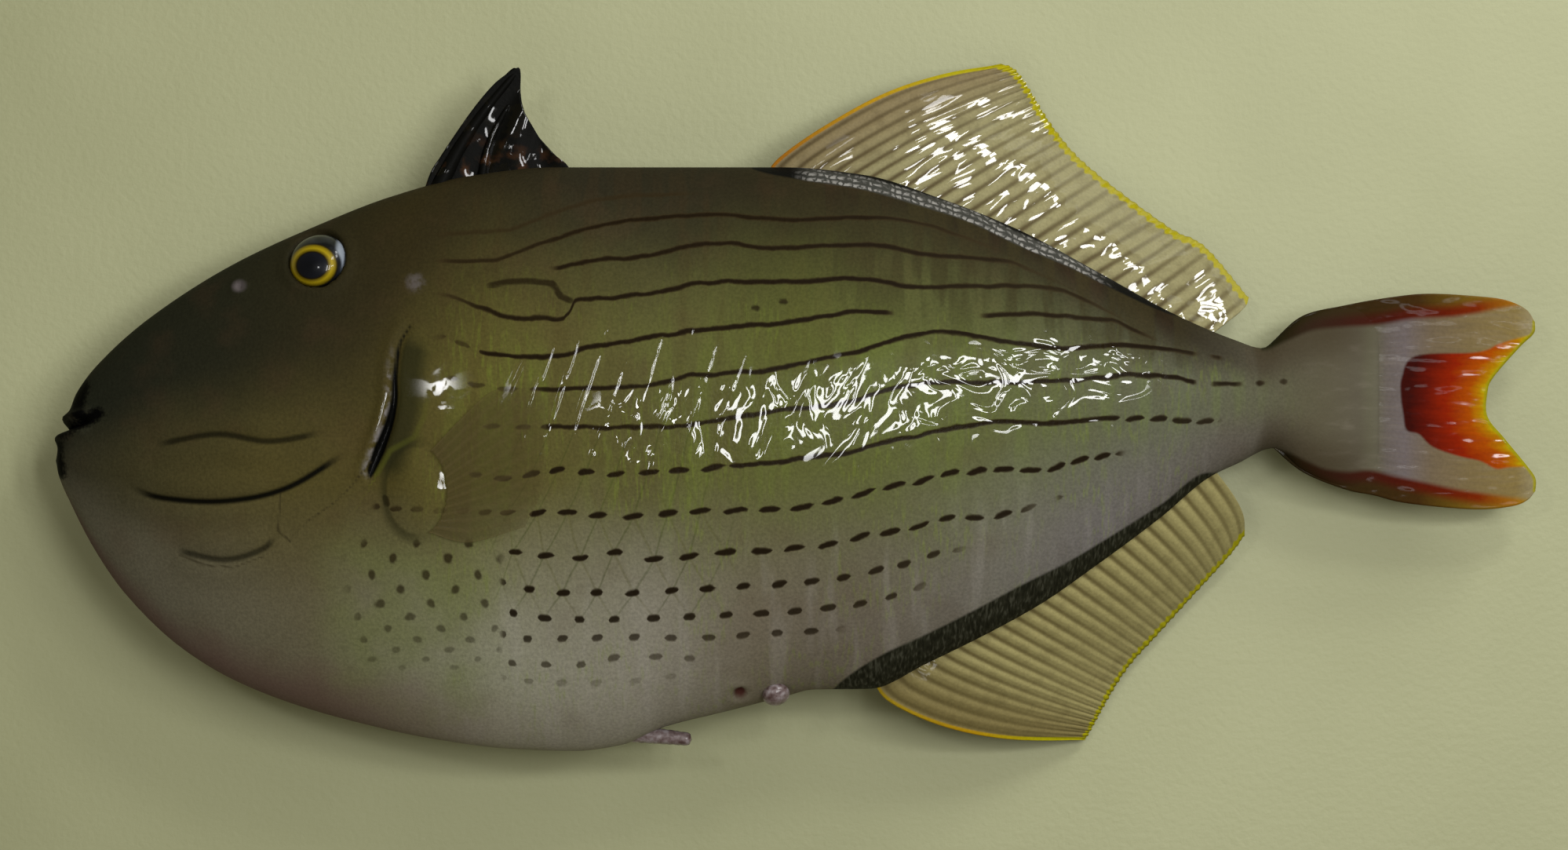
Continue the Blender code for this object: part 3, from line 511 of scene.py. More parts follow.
def close_up(piece, gap=0.004):
    """Merges the points that meet at seams and poles and turns all faces outwards."""
    bpy.ops.object.select_all(action="DESELECT")
    piece.select_set(True)
    bpy.context.view_layer.objects.active = piece
    bpy.ops.object.mode_set(mode="EDIT")
    bpy.ops.mesh.select_all(action="SELECT")
    bpy.ops.mesh.remove_doubles(threshold=gap * MM)
    bpy.ops.mesh.normals_make_consistent(inside=False)
    bpy.ops.object.mode_set(mode="OBJECT")
    bpy.ops.object.shade_smooth()


def keep_value(piece, name, values):
    """Stores one number for each point, for the material to read."""
    layer = piece.data.attributes.new(name, "FLOAT", "POINT")
    layer.data.foreach_set("value", np.asarray(values, np.float32))


def thicken(piece, thickness, shares):
    """Gives a sheet its wall, as a share of the thickness at each point."""
    bpy.ops.object.select_all(action="DESELECT")
    piece.select_set(True)
    bpy.context.view_layer.objects.active = piece
    wall = piece.modifiers.new("wall", "SOLIDIFY")
    wall.thickness = thickness * MM
    wall.offset = 0.0
    group = piece.vertex_groups.new(name="wall")
    for step in range(101):
        members = np.nonzero(np.round(shares * 100) == step)[0]
        if len(members):
            group.add(members.tolist(), step / 100, "REPLACE")
    wall.vertex_group = "wall"
    bpy.ops.object.modifier_apply(modifier="wall")
    piece.vertex_groups.clear()
    bpy.ops.object.shade_smooth()


def dress(piece, material):
    piece.data.materials.clear()
    piece.data.materials.append(material)
    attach(piece, "root")


# Body


def body_place(u, v):
    """u runs from nose to tail; v from the back over the left flank to the belly, and home over the right."""
    k = u * SKIN_STATIONS
    nose = NOSE_X + NOSE_LENGTH * (np.minimum(k, NOSE_STATIONS) / NOSE_STATIONS) ** 2
    body = np.interp(k, (NOSE_STATIONS, 156, 298, 329), (-118.0, -60.0, 75.0, SKIN_END_X))
    x = np.where(k <= NOSE_STATIONS, nose, body)
    share = LEFT_POINTS / SKIN_RING
    w = np.where(v < share, 1 - 2 * v / share, -1 + 2 * (v - share) / (1 - share))
    turn = math.pi / 2 * w * (0.7 + 0.3 * w * w)
    s, c = np.sin(turn), np.cos(turn) * np.where(v < share, 1, -1)
    mid = widest_at(x)
    y = mid + s * np.where(s > 0, back_at(x) - mid, mid - belly_at(x))
    half = width_at(x) * np.abs(c) ** SECTION_POWER
    half = half - np.where(c < 0, recess(x, y) * np.abs(c), 0)
    z = mid_height(x) + np.sign(c) * half
    points = np.stack([x, y, z], axis=1)
    points[k < 0.5] = (NOSE_X - 0.05, -10.2, MID_HEIGHT)
    points[k > SKIN_STATIONS - 0.5] = (SKIN_END_X + 0.05, 1.0, float(mid_height(SKIN_END_X)))
    return points


def mouth_height(x):
    return MOUTH_CORNER[1] + MOUTH_SLOPE * (x - MOUTH_CORNER[0])


def skin_relief(x, y):
    """How far the skin stands out, in millimetres: gill slit, mouth, cheek folds, eye rim, nostrils and lobe."""
    gill, run = line_distance(x, y, rounded(GILL_SLIT, 40))
    fade = np.sqrt(np.sin(math.pi * np.clip(run, 0, 1)))
    low = smoothstep(0.3, 0.7, run)
    ridge = (0.5 + 0.5 * low) * bump_at(gill + 1.6, 1.2)
    slit = (0.9 + 0.8 * low) * bump_at(gill, 0.5 + 0.3 * low)
    rise = fade * (ridge - slit)
    for line, depth in zip(CHEEK_GROOVES, (0.25, 0.45, 0.3)):
        away, run = line_distance(x, y, rounded(line, 40))
        fade = np.sqrt(np.clip(np.sin(math.pi * np.clip(run, 0, 1)), 0, 1))
        rise += fade * (-depth * bump_at(away, 0.55) + 0.35 * bump_at(np.abs(away) - 2.5, 2.2))
    eye = np.hypot(x - EYE_CENTRE[0], y - EYE_CENTRE[1])
    lid = 0.4 * bump_at(eye - 5.9, 1.0) * smoothstep(1.0, 0.8, highness(x, y))
    rise += lid - 3.2 * smoothstep(5.2, 4.3, eye)
    for nx, ny, radius in NOSTRILS:
        away = np.hypot(x - nx, y - ny)
        rise += 0.2 * bump_at(away - radius * 1.6, radius * 0.6) - 0.4 * bump_at(away, radius * 0.8)
    rise += 0.9 * np.clip(1 - oval_reach(x, y, LOBE_CENTRE, LOBE_RADII) ** 2, 0, 1)
    gape = y - mouth_height(x)
    front = smoothstep(-123.4, -126.0, x)
    lips = 0.8 * bump_at(gape - 1.5, 0.8) + 0.8 * bump_at(gape + 1.7, 0.9)
    rise += front * (lips - 1.6 * bump_at(gape, 0.55))
    vent = np.hypot(x - VENT[0], y - VENT[1])
    rise += 0.3 * bump_at(vent - 1.6, 0.6) - 1.2 * bump_at(vent, 0.9)
    return rise


def stripe_values(px, py):
    """Row number, gap between rows, ink and dashes of the striped pattern at each place of the photo."""
    lines = np.array([smooth_curve(line)(px) for line, _, _ in STRIPES])
    for k in range(1, len(lines)):
        lines[k] = np.maximum(lines[k], lines[k - 1] + 6)
    ink = np.array([np.interp(px, *np.array(stops, float).T) for _, stops, _ in STRIPES])
    dashes = np.array([np.interp(px, *np.array(stops, float).T) for _, _, stops in STRIPES])
    none = np.zeros((1, len(px)))
    lines = np.vstack([lines[:1] - 50, lines, lines[-1:] + 50])
    ink = np.vstack([none, ink, none])
    dashes = np.vstack([dashes[:1], dashes, dashes[-1:]])
    above = np.clip((lines <= py).sum(axis=0) - 1, 0, len(lines) - 2)
    every = np.arange(len(px))
    low, high = lines[above, every], lines[above + 1, every]
    share = np.clip((py - low) / (high - low), 0, 1)
    gaps = np.gradient(lines, axis=0)

    def between(table):
        return table[above, every] * (1 - share) + table[above + 1, every] * share

    return above - 1 + share, between(gaps) * FLANK_PIXEL, between(ink), between(dashes)


def column_values(px, row):
    upper = np.interp(px, *np.array(UPPER_COLUMNS, float).T)
    lower = np.interp(px, *np.array(LOWER_COLUMNS, float).T)
    return upper + (lower - upper) * np.clip((row - LATTICE_ROW) / 2, -0.4, 1)


def tail_values(piece, px, py):
    """Distances, in millimetres, into the dark bands along the tail's upper and lower edges."""
    keep_value(piece, "top_band", (smooth_curve(TAIL_TOP_BAND)(px) - py) * TAIL_PIXEL)
    keep_value(piece, "lower_band", (py - smooth_curve(TAIL_LOWER_BAND)(px)) * TAIL_PIXEL)


def make_skin():
    skin, _ = grid_piece("skin", SKIN_STATIONS, SKIN_RING, body_place)
    close_up(skin)
    points, outward = points_of(skin), normals_of(skin)
    x, y, z = points.T
    px, py = photo_place(x, y, z)
    row, gap, ink, dashes = stripe_values(px, py)
    keep_value(skin, "row", row)
    keep_value(skin, "row_gap", gap)
    breast = smoothstep(8.5, 8.7, row) * smoothstep(646, 632, px)
    keep_value(skin, "ink", ink * (1 - breast))
    down = np.interp(py, *np.array(BREAST_ROWS).T)
    crossing = DOWN_SLANT + UP_SLANT
    keep_value(skin, "spots_down", (px - BREAST_START + DOWN_SLANT * down) / crossing)
    keep_value(skin, "spots_up", (UP_SLANT * down - px + BREAST_START) / crossing)
    fading = np.interp(py, (680, 694, 760, 850, 862), (0, 1, 0.9, 0.45, 0))
    keep_value(skin, "spotted", breast * smoothstep(425, 470, px) * fading)
    keep_value(skin, "dashes", dashes)
    keep_value(skin, "column", column_values(px, row))
    keep_value(skin, "highness", highness(x, y))
    gill, slit_run = line_distance(x, y, rounded(GILL_SLIT, 40))
    keep_value(skin, "gill", gill)
    keep_value(skin, "gill_fade", np.sin(math.pi * np.clip(slit_run, 0, 1)))
    keep_value(skin, "gill_inside", np.interp(slit_run, *np.array(GILL_WIDTH).T) - np.abs(gill))
    grooves = [line_distance(x, y, rounded(line, 40)) for line in CHEEK_GROOVES]
    for number, (away, run) in enumerate(grooves):
        keep_value(skin, f"groove_{number}", away)
        keep_value(skin, f"groove_fade_{number}", np.sin(math.pi * np.clip(run, 0, 1)))
    rim, _ = line_distance(px, py, FLAP_RIM)
    keep_value(skin, "flap_rim", rim * FLANK_PIXEL)
    keep_value(skin, "run", (px - PHOTO_CENTRE[0]) * FLANK_PIXEL)
    keep_value(skin, "dorsal_sheath", (smooth_curve(DORSAL_SHEATH)(px) - py) * BACK_PIXEL)
    keep_value(skin, "anal_sheath", (py - smooth_curve(ANAL_SHEATH)(px)) * BELLY_PIXEL)
    for name, lines in (("short_lines", SHORT_LINES), ("lips", LIPS), ("creases", CREASES)):
        away = [np.abs(line_distance(px, py, line)[0]) for line in lines]
        keep_value(skin, name, np.min(away, axis=0) * FLANK_PIXEL)
    keep_value(skin, "nostril", oval_reach(x, y, NOSTRILS[0], (1.2, 1.0)))
    keep_value(skin, "vent", np.hypot(x - VENT[0], y - VENT[1]))
    keep_value(skin, "sheen_behind_eye", np.hypot(x - SHEEN_BEHIND_EYE[0], y - SHEEN_BEHIND_EYE[1]))
    keep_value(skin, "lobe", oval_reach(x, y, LOBE_CENTRE, LOBE_RADII))
    # Pale violet painted highlight along the head side of the gill slit, where the wet rim catches the light.
    crest_highlight = bump_at(gill + 0.95, 0.5) * smoothstep(0.1, 0.5, slit_run) * smoothstep(1.0, 0.92, slit_run)
    keep_value(skin, "crest_highlight", crest_highlight)
    pool, _ = line_distance(px, py, GLINT_POOL)
    keep_value(skin, "pool", bump_at(pool, np.where(pool > 0, *POOL_WIDTHS)))
    creased, _ = line_distance(px, py, CREASED)
    keep_value(skin, "streaky", bump_at(creased, CREASED_WIDTH) * smoothstep(630, 690, px))
    wet_spots = [bump_at(np.hypot(px - wx, py - wy), size) for wx, wy, size in WET_SPOTS]
    wet_edge = bump_at(gill + 1.5, 0.8) * smoothstep(0.3, 0.5, slit_run) * smoothstep(1.0, 0.85, slit_run)
    keep_value(skin, "wet_spots", np.max(wet_spots + [wet_edge], axis=0))
    tail_values(skin, px, py)
    points += outward * skin_relief(x, y)[:, None]
    points[:, 2] = np.maximum(points[:, 2], FLOOR_CLEARANCE)
    move_points(skin, points)
    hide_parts("head", "trunk", "tail_stem")
    return skin


# Fins


def ridges(u, v, rays):
    """1 on top of each ray and 0 between two; towards the edge each ray splits into branches."""
    single = 0.5 + 0.5 * np.cos(2 * math.pi * u * (rays - 1))
    double = 0.5 + 0.5 * np.cos(4 * math.pi * u * (rays - 1))
    split = smoothstep(0.45, 0.85, v) * 0.7
    return single * (1 - split) + np.maximum(double, single * 0.6) * split


def fin_walls(u, v, rays, root=1.1, web=0.45, tip=0.65):
    ray = root + (tip - root) * v
    return web + (ray - web) * ridges(u, v, rays) ** 1.3


def median_fin(name, rays, base, side, lead, edge, trail, tip_heights, fan):
    """A soft fin rising from the back or belly; its root is sunk in the skin."""
    rim = back_at if side > 0 else belly_at
    xs = np.linspace(*base, 40)
    feet = np.stack([xs, rim(xs) - side * 1.6], axis=1)
    inside = patch(feet, edge, (tuple(feet[0]),) + lead, (tuple(feet[-1]),) + trail, fan, reach=(8, 8))
    height = smooth_curve(list(zip(np.linspace(0, 1, len(tip_heights)), tip_heights)))

    def place(u, v):
        scallop = 0.012 * (1 - ridges(u, v, rays)) * smoothstep(0.8, 1.0, v)
        flat = inside(u, v * (1 - scallop))
        foot = mid_height(base[0] + (base[1] - base[0]) * u)
        return np.column_stack([flat, foot + (height(u) - foot) * v**1.5])

    fin = sheet_of_rays(name, place, rays, 12, 46)
    x, y, _ = points_of(fin).T
    keep_value(fin, "to_edge", np.abs(line_distance(x, y, rounded(edge, 60))[0]))
    front = rounded((tuple(feet[0]),) + lead, 40)
    keep_value(fin, "to_front", np.abs(line_distance(x, y, front)[0]))
    return fin


def sheet_of_rays(name, place, rays, fineness, rows, walls=fin_walls):
    made, uv = grid_piece(name, (rays - 1) * fineness, rows, place)
    shares = walls(uv[:, 0], uv[:, 1], rays)
    smooth = normals_of(made)
    thicken(made, float(shares.max()), shares / shares.max())
    ribbed = normals_of(made)
    film = np.tile(smooth, (len(ribbed) // len(smooth), 1))
    film *= np.sign((film * ribbed).sum(axis=1))[:, None]
    layer = made.data.attributes.new("film", "FLOAT_VECTOR", "POINT")
    layer.data.foreach_set("vector", (0.75 * film + 0.25 * ribbed).ravel())
    return made


def make_tail_fin():
    inside = patch(*(CAUDAL[k] for k in ("base", "edge", "lead", "trail")))

    def place(u, v):
        flat = inside(u, v)
        return np.column_stack([flat, mid_height(flat[:, 0])])

    def walls(u, v, rays):
        return fin_walls(u, v, rays, 0.8, 0.75, 0.72)

    fin = sheet_of_rays("tail_fin", place, CAUDAL["rays"], 12, 90, walls)
    x, y, _ = points_of(fin).T
    px, py = photo_place(x, y, mid_height(x))
    tail_values(fin, px, py)
    inner, _ = line_distance(px, py, rounded(CRESCENT, 120))
    border, _ = line_distance(x, y, rounded(CAUDAL["edge"], 40))
    keep_value(fin, "crescent", inner * -CRESCENT_PIXEL)
    keep_value(fin, "to_edge", np.abs(border))
    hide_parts("caudal_fin")
    return fin


def pectoral_fin(name, rays, side, lift, spread, arc, lead, edge, trail):
    turns = np.radians(np.linspace(*arc, 40))
    feet = np.stack([
        LOBE_CENTRE[0] + LOBE_RADII[0] * np.cos(turns),
        LOBE_CENTRE[1] + LOBE_RADII[1] * np.sin(turns),
    ], axis=1)
    inside = patch(feet, edge, (tuple(feet[0]),) + lead, (tuple(feet[-1]),) + trail)

    def place(u, v):
        x, y = inside(u, v).T
        rise = lift + 0.2 + spread * v**2
        return np.column_stack([x, y, flank(x, y, side) + side * rise])

    def walls(u, v, rays):
        return fin_walls(u, v, rays, 0.45, 0.2, 0.25)

    return sheet_of_rays(name, place, rays, 10, 40, walls)


def make_spiny_web():
    inside = patch(*(SPINY_WEB[k] for k in ("base", "edge", "lead", "trail")))

    def place(u, v):
        flat = inside(u, v)
        fold = 0.5 * np.sin(u * 13 + v * 2) * np.sin(math.pi * np.clip(u, 0, 1))
        return np.column_stack([flat, MID_HEIGHT + fold])

    def walls(u, v, rays):
        near = bump_at(u, 0.05) + 0.8 * bump_at(u - 0.42, 0.04) + 0.5 * bump_at(u - 0.68, 0.04)
        return 0.6 + 0.7 * np.clip(near, 0, 1) * (1 - 0.6 * v)

    return sheet_of_rays("spiny_fin_web", place, 5, 24, 70, walls)


def tapered_rod(name, start, end, root, tip, bow=0.0, around=20, along=40):
    """A round rod from one place of the mid-plane to another, closed at both ends."""
    (x0, y0), (x1, y1) = start, end
    length = math.hypot(x1 - x0, y1 - y0)
    side_x, side_y = -(y1 - y0) / length, (x1 - x0) / length

    def place(u, v):
        turn = 2 * math.pi * v
        blunt = np.sqrt(np.clip(1 - np.maximum(0, (u - 0.93) / 0.07) ** 2, 0, 1))
        radius = (root + (tip - root) * u) * blunt
        radius = radius * np.sqrt(np.clip(u / 0.02, 0, 1))
        radius = radius * (1 + 0.05 * np.sin(9 * turn + 30 * u))
        swing = bow * np.sin(math.pi * u) + radius * np.cos(turn)
        x = x0 + (x1 - x0) * u + side_x * swing
        y = y0 + (y1 - y0) * u + side_y * swing
        return np.column_stack([x, y, MID_HEIGHT + radius * np.sin(turn)])

    made, _ = grid_piece(name, along, around, place)
    close_up(made)
    return made


def join(name, pieces):
    bpy.ops.object.select_all(action="DESELECT")
    for piece in pieces:
        piece.select_set(True)
    bpy.context.view_layer.objects.active = pieces[0]
    bpy.ops.object.join()
    pieces[0].name = name
    pieces[0].data.name = name
    return pieces[0]


def ball(name, centre, normal, radii, around=72, along=40):
    """A closed ball with its pole along the normal."""
    across = Vector((1.0, 0.0, 0.0))
    across = (across - normal * across.dot(normal)).normalized()
    up = normal.cross(across)
    frame_axes = np.array([across, up, normal])

    def place(u, v):
        turn, fall = 2 * math.pi * u, math.pi * v
        local = np.stack([
            radii[0] * np.sin(fall) * np.cos(turn),
            radii[1] * np.sin(fall) * np.sin(turn),
            radii[2] * np.cos(fall),
        ], axis=1)
        return np.array(centre) + local @ frame_axes

    made, _ = grid_piece(name, around, along, place)
    close_up(made)
    return made


def make_eye(name, side):
    x, y = EYE_CENTRE
    normal = flank_normal(x, y, side)
    centre = Vector((x, y, float(flank(x, y, side)))) - normal * EYE_SINK
    return ball(name, centre, normal, (EYE_RADIUS, EYE_RADIUS, EYE_DEPTH))


# Materials


def linear(hex_colour):
    """An sRGB hex colour as the linear numbers that a shader takes."""
    parts = [int(hex_colour[i : i + 2], 16) / 255 for i in (1, 3, 5)]
    return tuple(p / 12.92 if p <= 0.04045 else ((p + 0.055) / 1.055) ** 2.4 for p in parts) + (1.0,)


def add(tree, kind, feeds=None, stops=None, **settings):
    """Adds a node. Settings are its properties; feeds its inputs, each a node, a socket, a number, a hex colour or
    the name of a value kept in the mesh; stops the colours of a ramp."""
    made = tree.nodes.new("ShaderNode" + kind)
    for name, value in settings.items():
        setattr(made, name, value)
    for slot, source in (feeds or {}).items():
        if isinstance(slot, int):
            socket = made.inputs[slot]
        else:
            socket = next(s for s in made.inputs if s.enabled and s.name == slot)
        if isinstance(source, str) and not source.startswith("#"):
            source = add(tree, "Attribute", attribute_name=source).outputs["Fac"]
        if isinstance(source, bpy.types.Node):
            source = next(s for s in source.outputs if s.enabled)
        if isinstance(source, bpy.types.NodeSocket):
            tree.links.new(source, socket)
        else:
            socket.default_value = linear(source) if isinstance(source, str) else source
    if stops:
        band = made.color_ramp.elements
        band.remove(band[1])
        band[0].position, band[0].color = stops[0][0], linear(stops[0][1])
        for at, colour in stops[1:]:
            band.new(at).color = linear(colour)
    return made


def new_material(name):
    made = bpy.data.materials.new(name)
    made.use_nodes = True
    made.node_tree.nodes.clear()
    return made, made.node_tree


def finish_material(tree, **settings):
    shader = add(tree, "BsdfPrincipled", {name.replace("_", " "): value for name, value in settings.items()})
    add(tree, "OutputMaterial", {"Surface": shader.outputs[0]})


def cover(tree, *parts):
    """One mask out of parts that multiply. A part is a mask, a share, or (value, none, full): that one grows from 0
    where the value is at none to 1 where it is at full."""
    mask = None
    for part in parts:
        if isinstance(part, tuple):
            limits = {"Value": part[0], "From Min": part[1], "From Max": part[2]}
            part = add(tree, "MapRange", limits, interpolation_type="SMOOTHSTEP")
        mask = part if mask is None else add(tree, "Math", {0: mask, 1: part}, operation="MULTIPLY")
    return mask


def paint(tree, below, above, *parts):
    """Lays one colour over another where all parts of its mask are 1."""
    return add(tree, "Mix", {"Factor": cover(tree, *parts), "A": below, "B": above}, data_type="RGBA")


def layered(tree, colour, *coats):
    """Lays coats over a colour one after another, each a colour and the parts of its mask."""
    for coat, *mask in coats:
        colour = paint(tree, colour, coat, *mask)
    return colour


def past_whole(tree, value):
    """How far a number is past the nearest whole one, -0.5 to 0.5."""
    shifted = add(tree, "Math", {0: value, 1: 0.5}, operation="ADD")
    part = add(tree, "Math", {0: shifted}, operation="FRACT")
    return add(tree, "Math", {0: part, 1: 0.5}, operation="SUBTRACT")


def wrapped(tree, value):
    """How far a number is from the nearest whole one, 0 to 0.5."""
    return add(tree, "Math", {0: past_whole(tree, value)}, operation="ABSOLUTE")


def clouds(tree, where, size_mm, stretch=(1, 1, 1), detail=3.0):
    """Cloudy variation whose patches are about size_mm across, longer where stretch is below 1."""
    scale = tuple(s / (size_mm * MM) for s in stretch)
    scaled = add(tree, "VectorMath", {0: where, 1: scale}, operation="MULTIPLY")
    return add(tree, "TexNoise", {"Vector": scaled, "Scale": 1.0, "Detail": detail})


def stirred(tree, value, variation, amount):
    """The value shifted up and down by a variation, by half of the amount each way."""
    centred = add(tree, "Math", {0: variation, 1: 0.5}, operation="SUBTRACT")
    return add(tree, "Math", {0: centred, 1: amount, 2: value}, operation="MULTIPLY_ADD")


def grained(tree, colour, grain, low, high):
    """The colour darker and lighter with a fine grain."""
    shade = add(tree, "MapRange", {"Value": grain, "From Min": 0.3, "From Max": 0.7, "To Min": low, "To Max": high})
    return add(tree, "Mix", {"Factor": 1.0, "A": colour, "B": shade}, data_type="RGBA", blend_type="MULTIPLY")


def raised(tree, *parts, over=None):
    """A surface raised by the sum of its parts, each a value and what it adds in millimetres."""
    height = 0.0
    for value, rise in parts:
        height = add(tree, "Math", {0: value, 1: rise, 2: height}, operation="MULTIPLY_ADD")
    made = add(tree, "Bump", {"Height": height, "Strength": 1.0, "Distance": MM})
    if over:
        tree.links.new(over, made.inputs["Normal"])
    return made


def hide_colours(tree, along, high):
    """Olive flank, dark back and grey-mauve belly, each changing from nose to tail."""
    back = add(tree, "ValToRGB", {0: along}, stops=(
        (0.0, "#20221a"), (0.12, "#222217"), (0.24, "#2e2815"), (0.36, "#28251a"), (0.5, "#272316"),
        (0.65, "#1f1a10"), (0.745, "#1e180e"), (0.79, "#3a362a"), (0.82, "#4b473a"),
    ))
    side = add(tree, "ValToRGB", {0: along}, stops=(
        (0.0, "#313026"), (0.06, "#3c3823"), (0.15, "#4b4424"), (0.23, "#47401f"), (0.29, "#565127"),
        (0.4, "#52502d"), (0.5, "#525629"), (0.62, "#555a34"), (0.75, "#585a48"), (0.85, "#504d3b"),
    ))
    belly = add(tree, "ValToRGB", {0: along}, stops=(
        (0.0, "#5a5748"), (0.08, "#5f5b4c"), (0.18, "#625d49"), (0.3, "#898877"), (0.4, "#827e72"),
        (0.47, "#686152"), (0.55, "#625b50"), (0.63, "#68655c"), (0.7, "#64605e"), (0.85, "#555042"),
    ))
    near_nose, near_tail = cover(tree, (along, 0.3, 0.18)), cover(tree, (along, 0.72, 0.85))
    ends = add(tree, "Math", {0: near_nose, 1: near_tail}, operation="ADD")
    lifted = add(tree, "Math", {0: ends, 1: 0.35, 2: high}, operation="MULTIPLY_ADD")
    colour = paint(tree, side, back, (lifted, 0.3, 0.95))
    return paint(tree, colour, belly, (high, -0.02, -0.8))


def stripe_ink(tree, row, column):
    """Where the dark stripes are: lines along the rows of scales, in places broken up into short leaning dashes."""
    nearest = add(tree, "Math", {0: row}, operation="ROUND")
    from_seventh = add(tree, "Math", {0: nearest, 1: LATTICE_ROW}, operation="SUBTRACT")
    stagger = add(tree, "Math", {0: from_seventh, 1: 0.5}, operation="MULTIPLY")
    phase = past_whole(tree, add(tree, "Math", {0: column, 1: stagger}, operation="SUBTRACT"))
    by_row = {"Value": row, "From Min": 8.5, "From Max": 10.5}
    by_place = {"Value": "run", "From Min": -30.0, "From Max": 12.0}
    shorter = add(tree, "MapRange", {**by_row, "To Min": 3.0, "To Max": 5.4})
    longer = add(tree, "MapRange", {**by_place, "To Min": 1.0, "To Max": 0.75})
    blunt = add(tree, "Math", {0: cover(tree, phase, shorter, longer), 1: 4.0}, operation="POWER")
    ends = add(tree, "Math", {0: blunt, 1: -1.0, 2: 1.0}, operation="MULTIPLY_ADD")
    swell = add(tree, "MapRange", {**by_row, "To Min": 0.72, "To Max": 0.82})
    dash = add(tree, "Math", {0: ends, 1: swell}, operation="MULTIPLY")
    thick = add(tree, "Mix", {"Factor": "dashes", "A": 0.62, "B": dash})
    leaned = add(tree, "Math", {0: cover(tree, phase, "dashes"), 1: 0.08, 2: row}, operation="MULTIPLY_ADD")
    off_line = cover(tree, wrapped(tree, leaned), "row_gap")
    inside = add(tree, "Math", {0: thick, 1: off_line}, operation="SUBTRACT")
    return cover(tree, (inside, -0.08, 0.5), "ink")


def breast_spots(tree, where):
    """Small round spots on the breast, each where two slanting rows of scales cross."""
    loose = clouds(tree, where, 4.0)
    first = past_whole(tree, stirred(tree, "spots_down", loose, 0.3))
    second = past_whole(tree, stirred(tree, "spots_up", loose, -0.2))
    along_first = add(tree, "Math", {0: first, 1: UP_SLANT_MM}, operation="MULTIPLY")
    across = add(tree, "Math", {0: second, 1: -DOWN_SLANT_MM, 2: along_first}, operation="MULTIPLY_ADD")
    both = add(tree, "Math", {0: first, 1: second}, operation="ADD")
    down = add(tree, "Math", {0: both, 1: 2.2}, operation="MULTIPLY")
    away = add(tree, "VectorMath", {0: add(tree, "CombineXYZ", {"X": across, "Y": down})}, operation="LENGTH")
    return cover(tree, (away.outputs["Value"], 0.95, 0.45), "spotted")


def pale_tail(tree, where):
    """Smooth pale skin of the tail: lavender grey at the foot of the fin, cream on its lobes, finely streaked."""
    x = add(tree, "SeparateXYZ", {0: where}).outputs["X"]
    along = add(tree, "MapRange", {"Value": x, "From Min": TAIL_FOOT_X * MM, "From Max": TAIL_TIP_X * MM})
    pale = add(tree, "ValToRGB", {0: along}, stops=(
        (0.0, "#524e3c"), (0.2, "#544f3f"), (0.33, "#544f42"), (0.5, "#625a5a"), (0.6, "#665946"),
        (0.75, "#6f6040"), (0.92, "#78683e"), (1.0, "#8a8060"),
    ))
    pale = paint(tree, pale, "#5c6238", (x, 0.0980, 0.1010), (x, 0.1040, 0.1016), 0.22)
    fibres = clouds(tree, where, 1.6, (0.12, 1, 1), 2.0)
    pale = paint(tree, pale, "#857c70", (fibres, 0.5, 0.75), 0.16)
    return paint(tree, pale, "#4a4238", (fibres, 0.5, 0.25), 0.16)


def tail_bands(tree, colour, x):
    """Dark bands along the tail's upper and lower edges: maroon, redder towards the tips, olive at the very edge."""
    along = add(tree, "MapRange", {"Value": x, "From Min": TAIL_FOOT_X * MM, "From Max": TAIL_TIP_X * MM})
    red = add(tree, "ValToRGB", {0: along}, stops=(
        (0.0, "#1c1c0c"), (0.25, "#2e160c"), (0.45, "#3e1208"), (0.65, "#561604"), (0.78, "#6c2203"),
        (0.92, "#8a5c10"), (1.0, "#8a7a20"),
    ))
    olive = add(tree, "ValToRGB", {0: along}, stops=(
        (0.0, "#1e1c0c"), (0.55, "#33260c"), (0.8, "#6a5816"), (1.0, "#8a7c22"),
    ))
    for name in ("top_band", "lower_band"):
        colour = layered(
            tree, colour,
            ("#352c1c", (name, -9.0, -1.0), (along, 0.5, 0.2), 0.65),
            (red, (name, -0.6, 0.6)),
            (olive, (name, 0.9, 3.0), 0.85),
        )
    return colour


def sheath_colours(tree, where):
    """Dark sheath along the foot of the soft dorsal fin, with small pale scales along its middle."""
    uneven = clouds(tree, where, 1.6)
    ticks_along = add(tree, "Math", {0: stirred(tree, "run", uneven, 3.0), 1: 0.8}, operation="MULTIPLY")
    ticks_up = add(tree, "Math", {0: stirred(tree, "dorsal_sheath", uneven, 1.1), 1: 1.1}, operation="MULTIPLY")
    across, up = wrapped(tree, ticks_along), wrapped(tree, ticks_up)
    return layered(
        tree, "#3a3a36",
        ("#8a8884", (across, 0.46, 0.2), (up, 0.1, 0.36), (uneven, 0.3, 0.6)),
        ("#0b0b0a", ("dorsal_sheath", 1.9, 2.5)),
        ("#0c0c0a", ("run", 50.0, 58.0)),
        ("#0b0b0a", ("run", 6.0, 1.0)),
    )


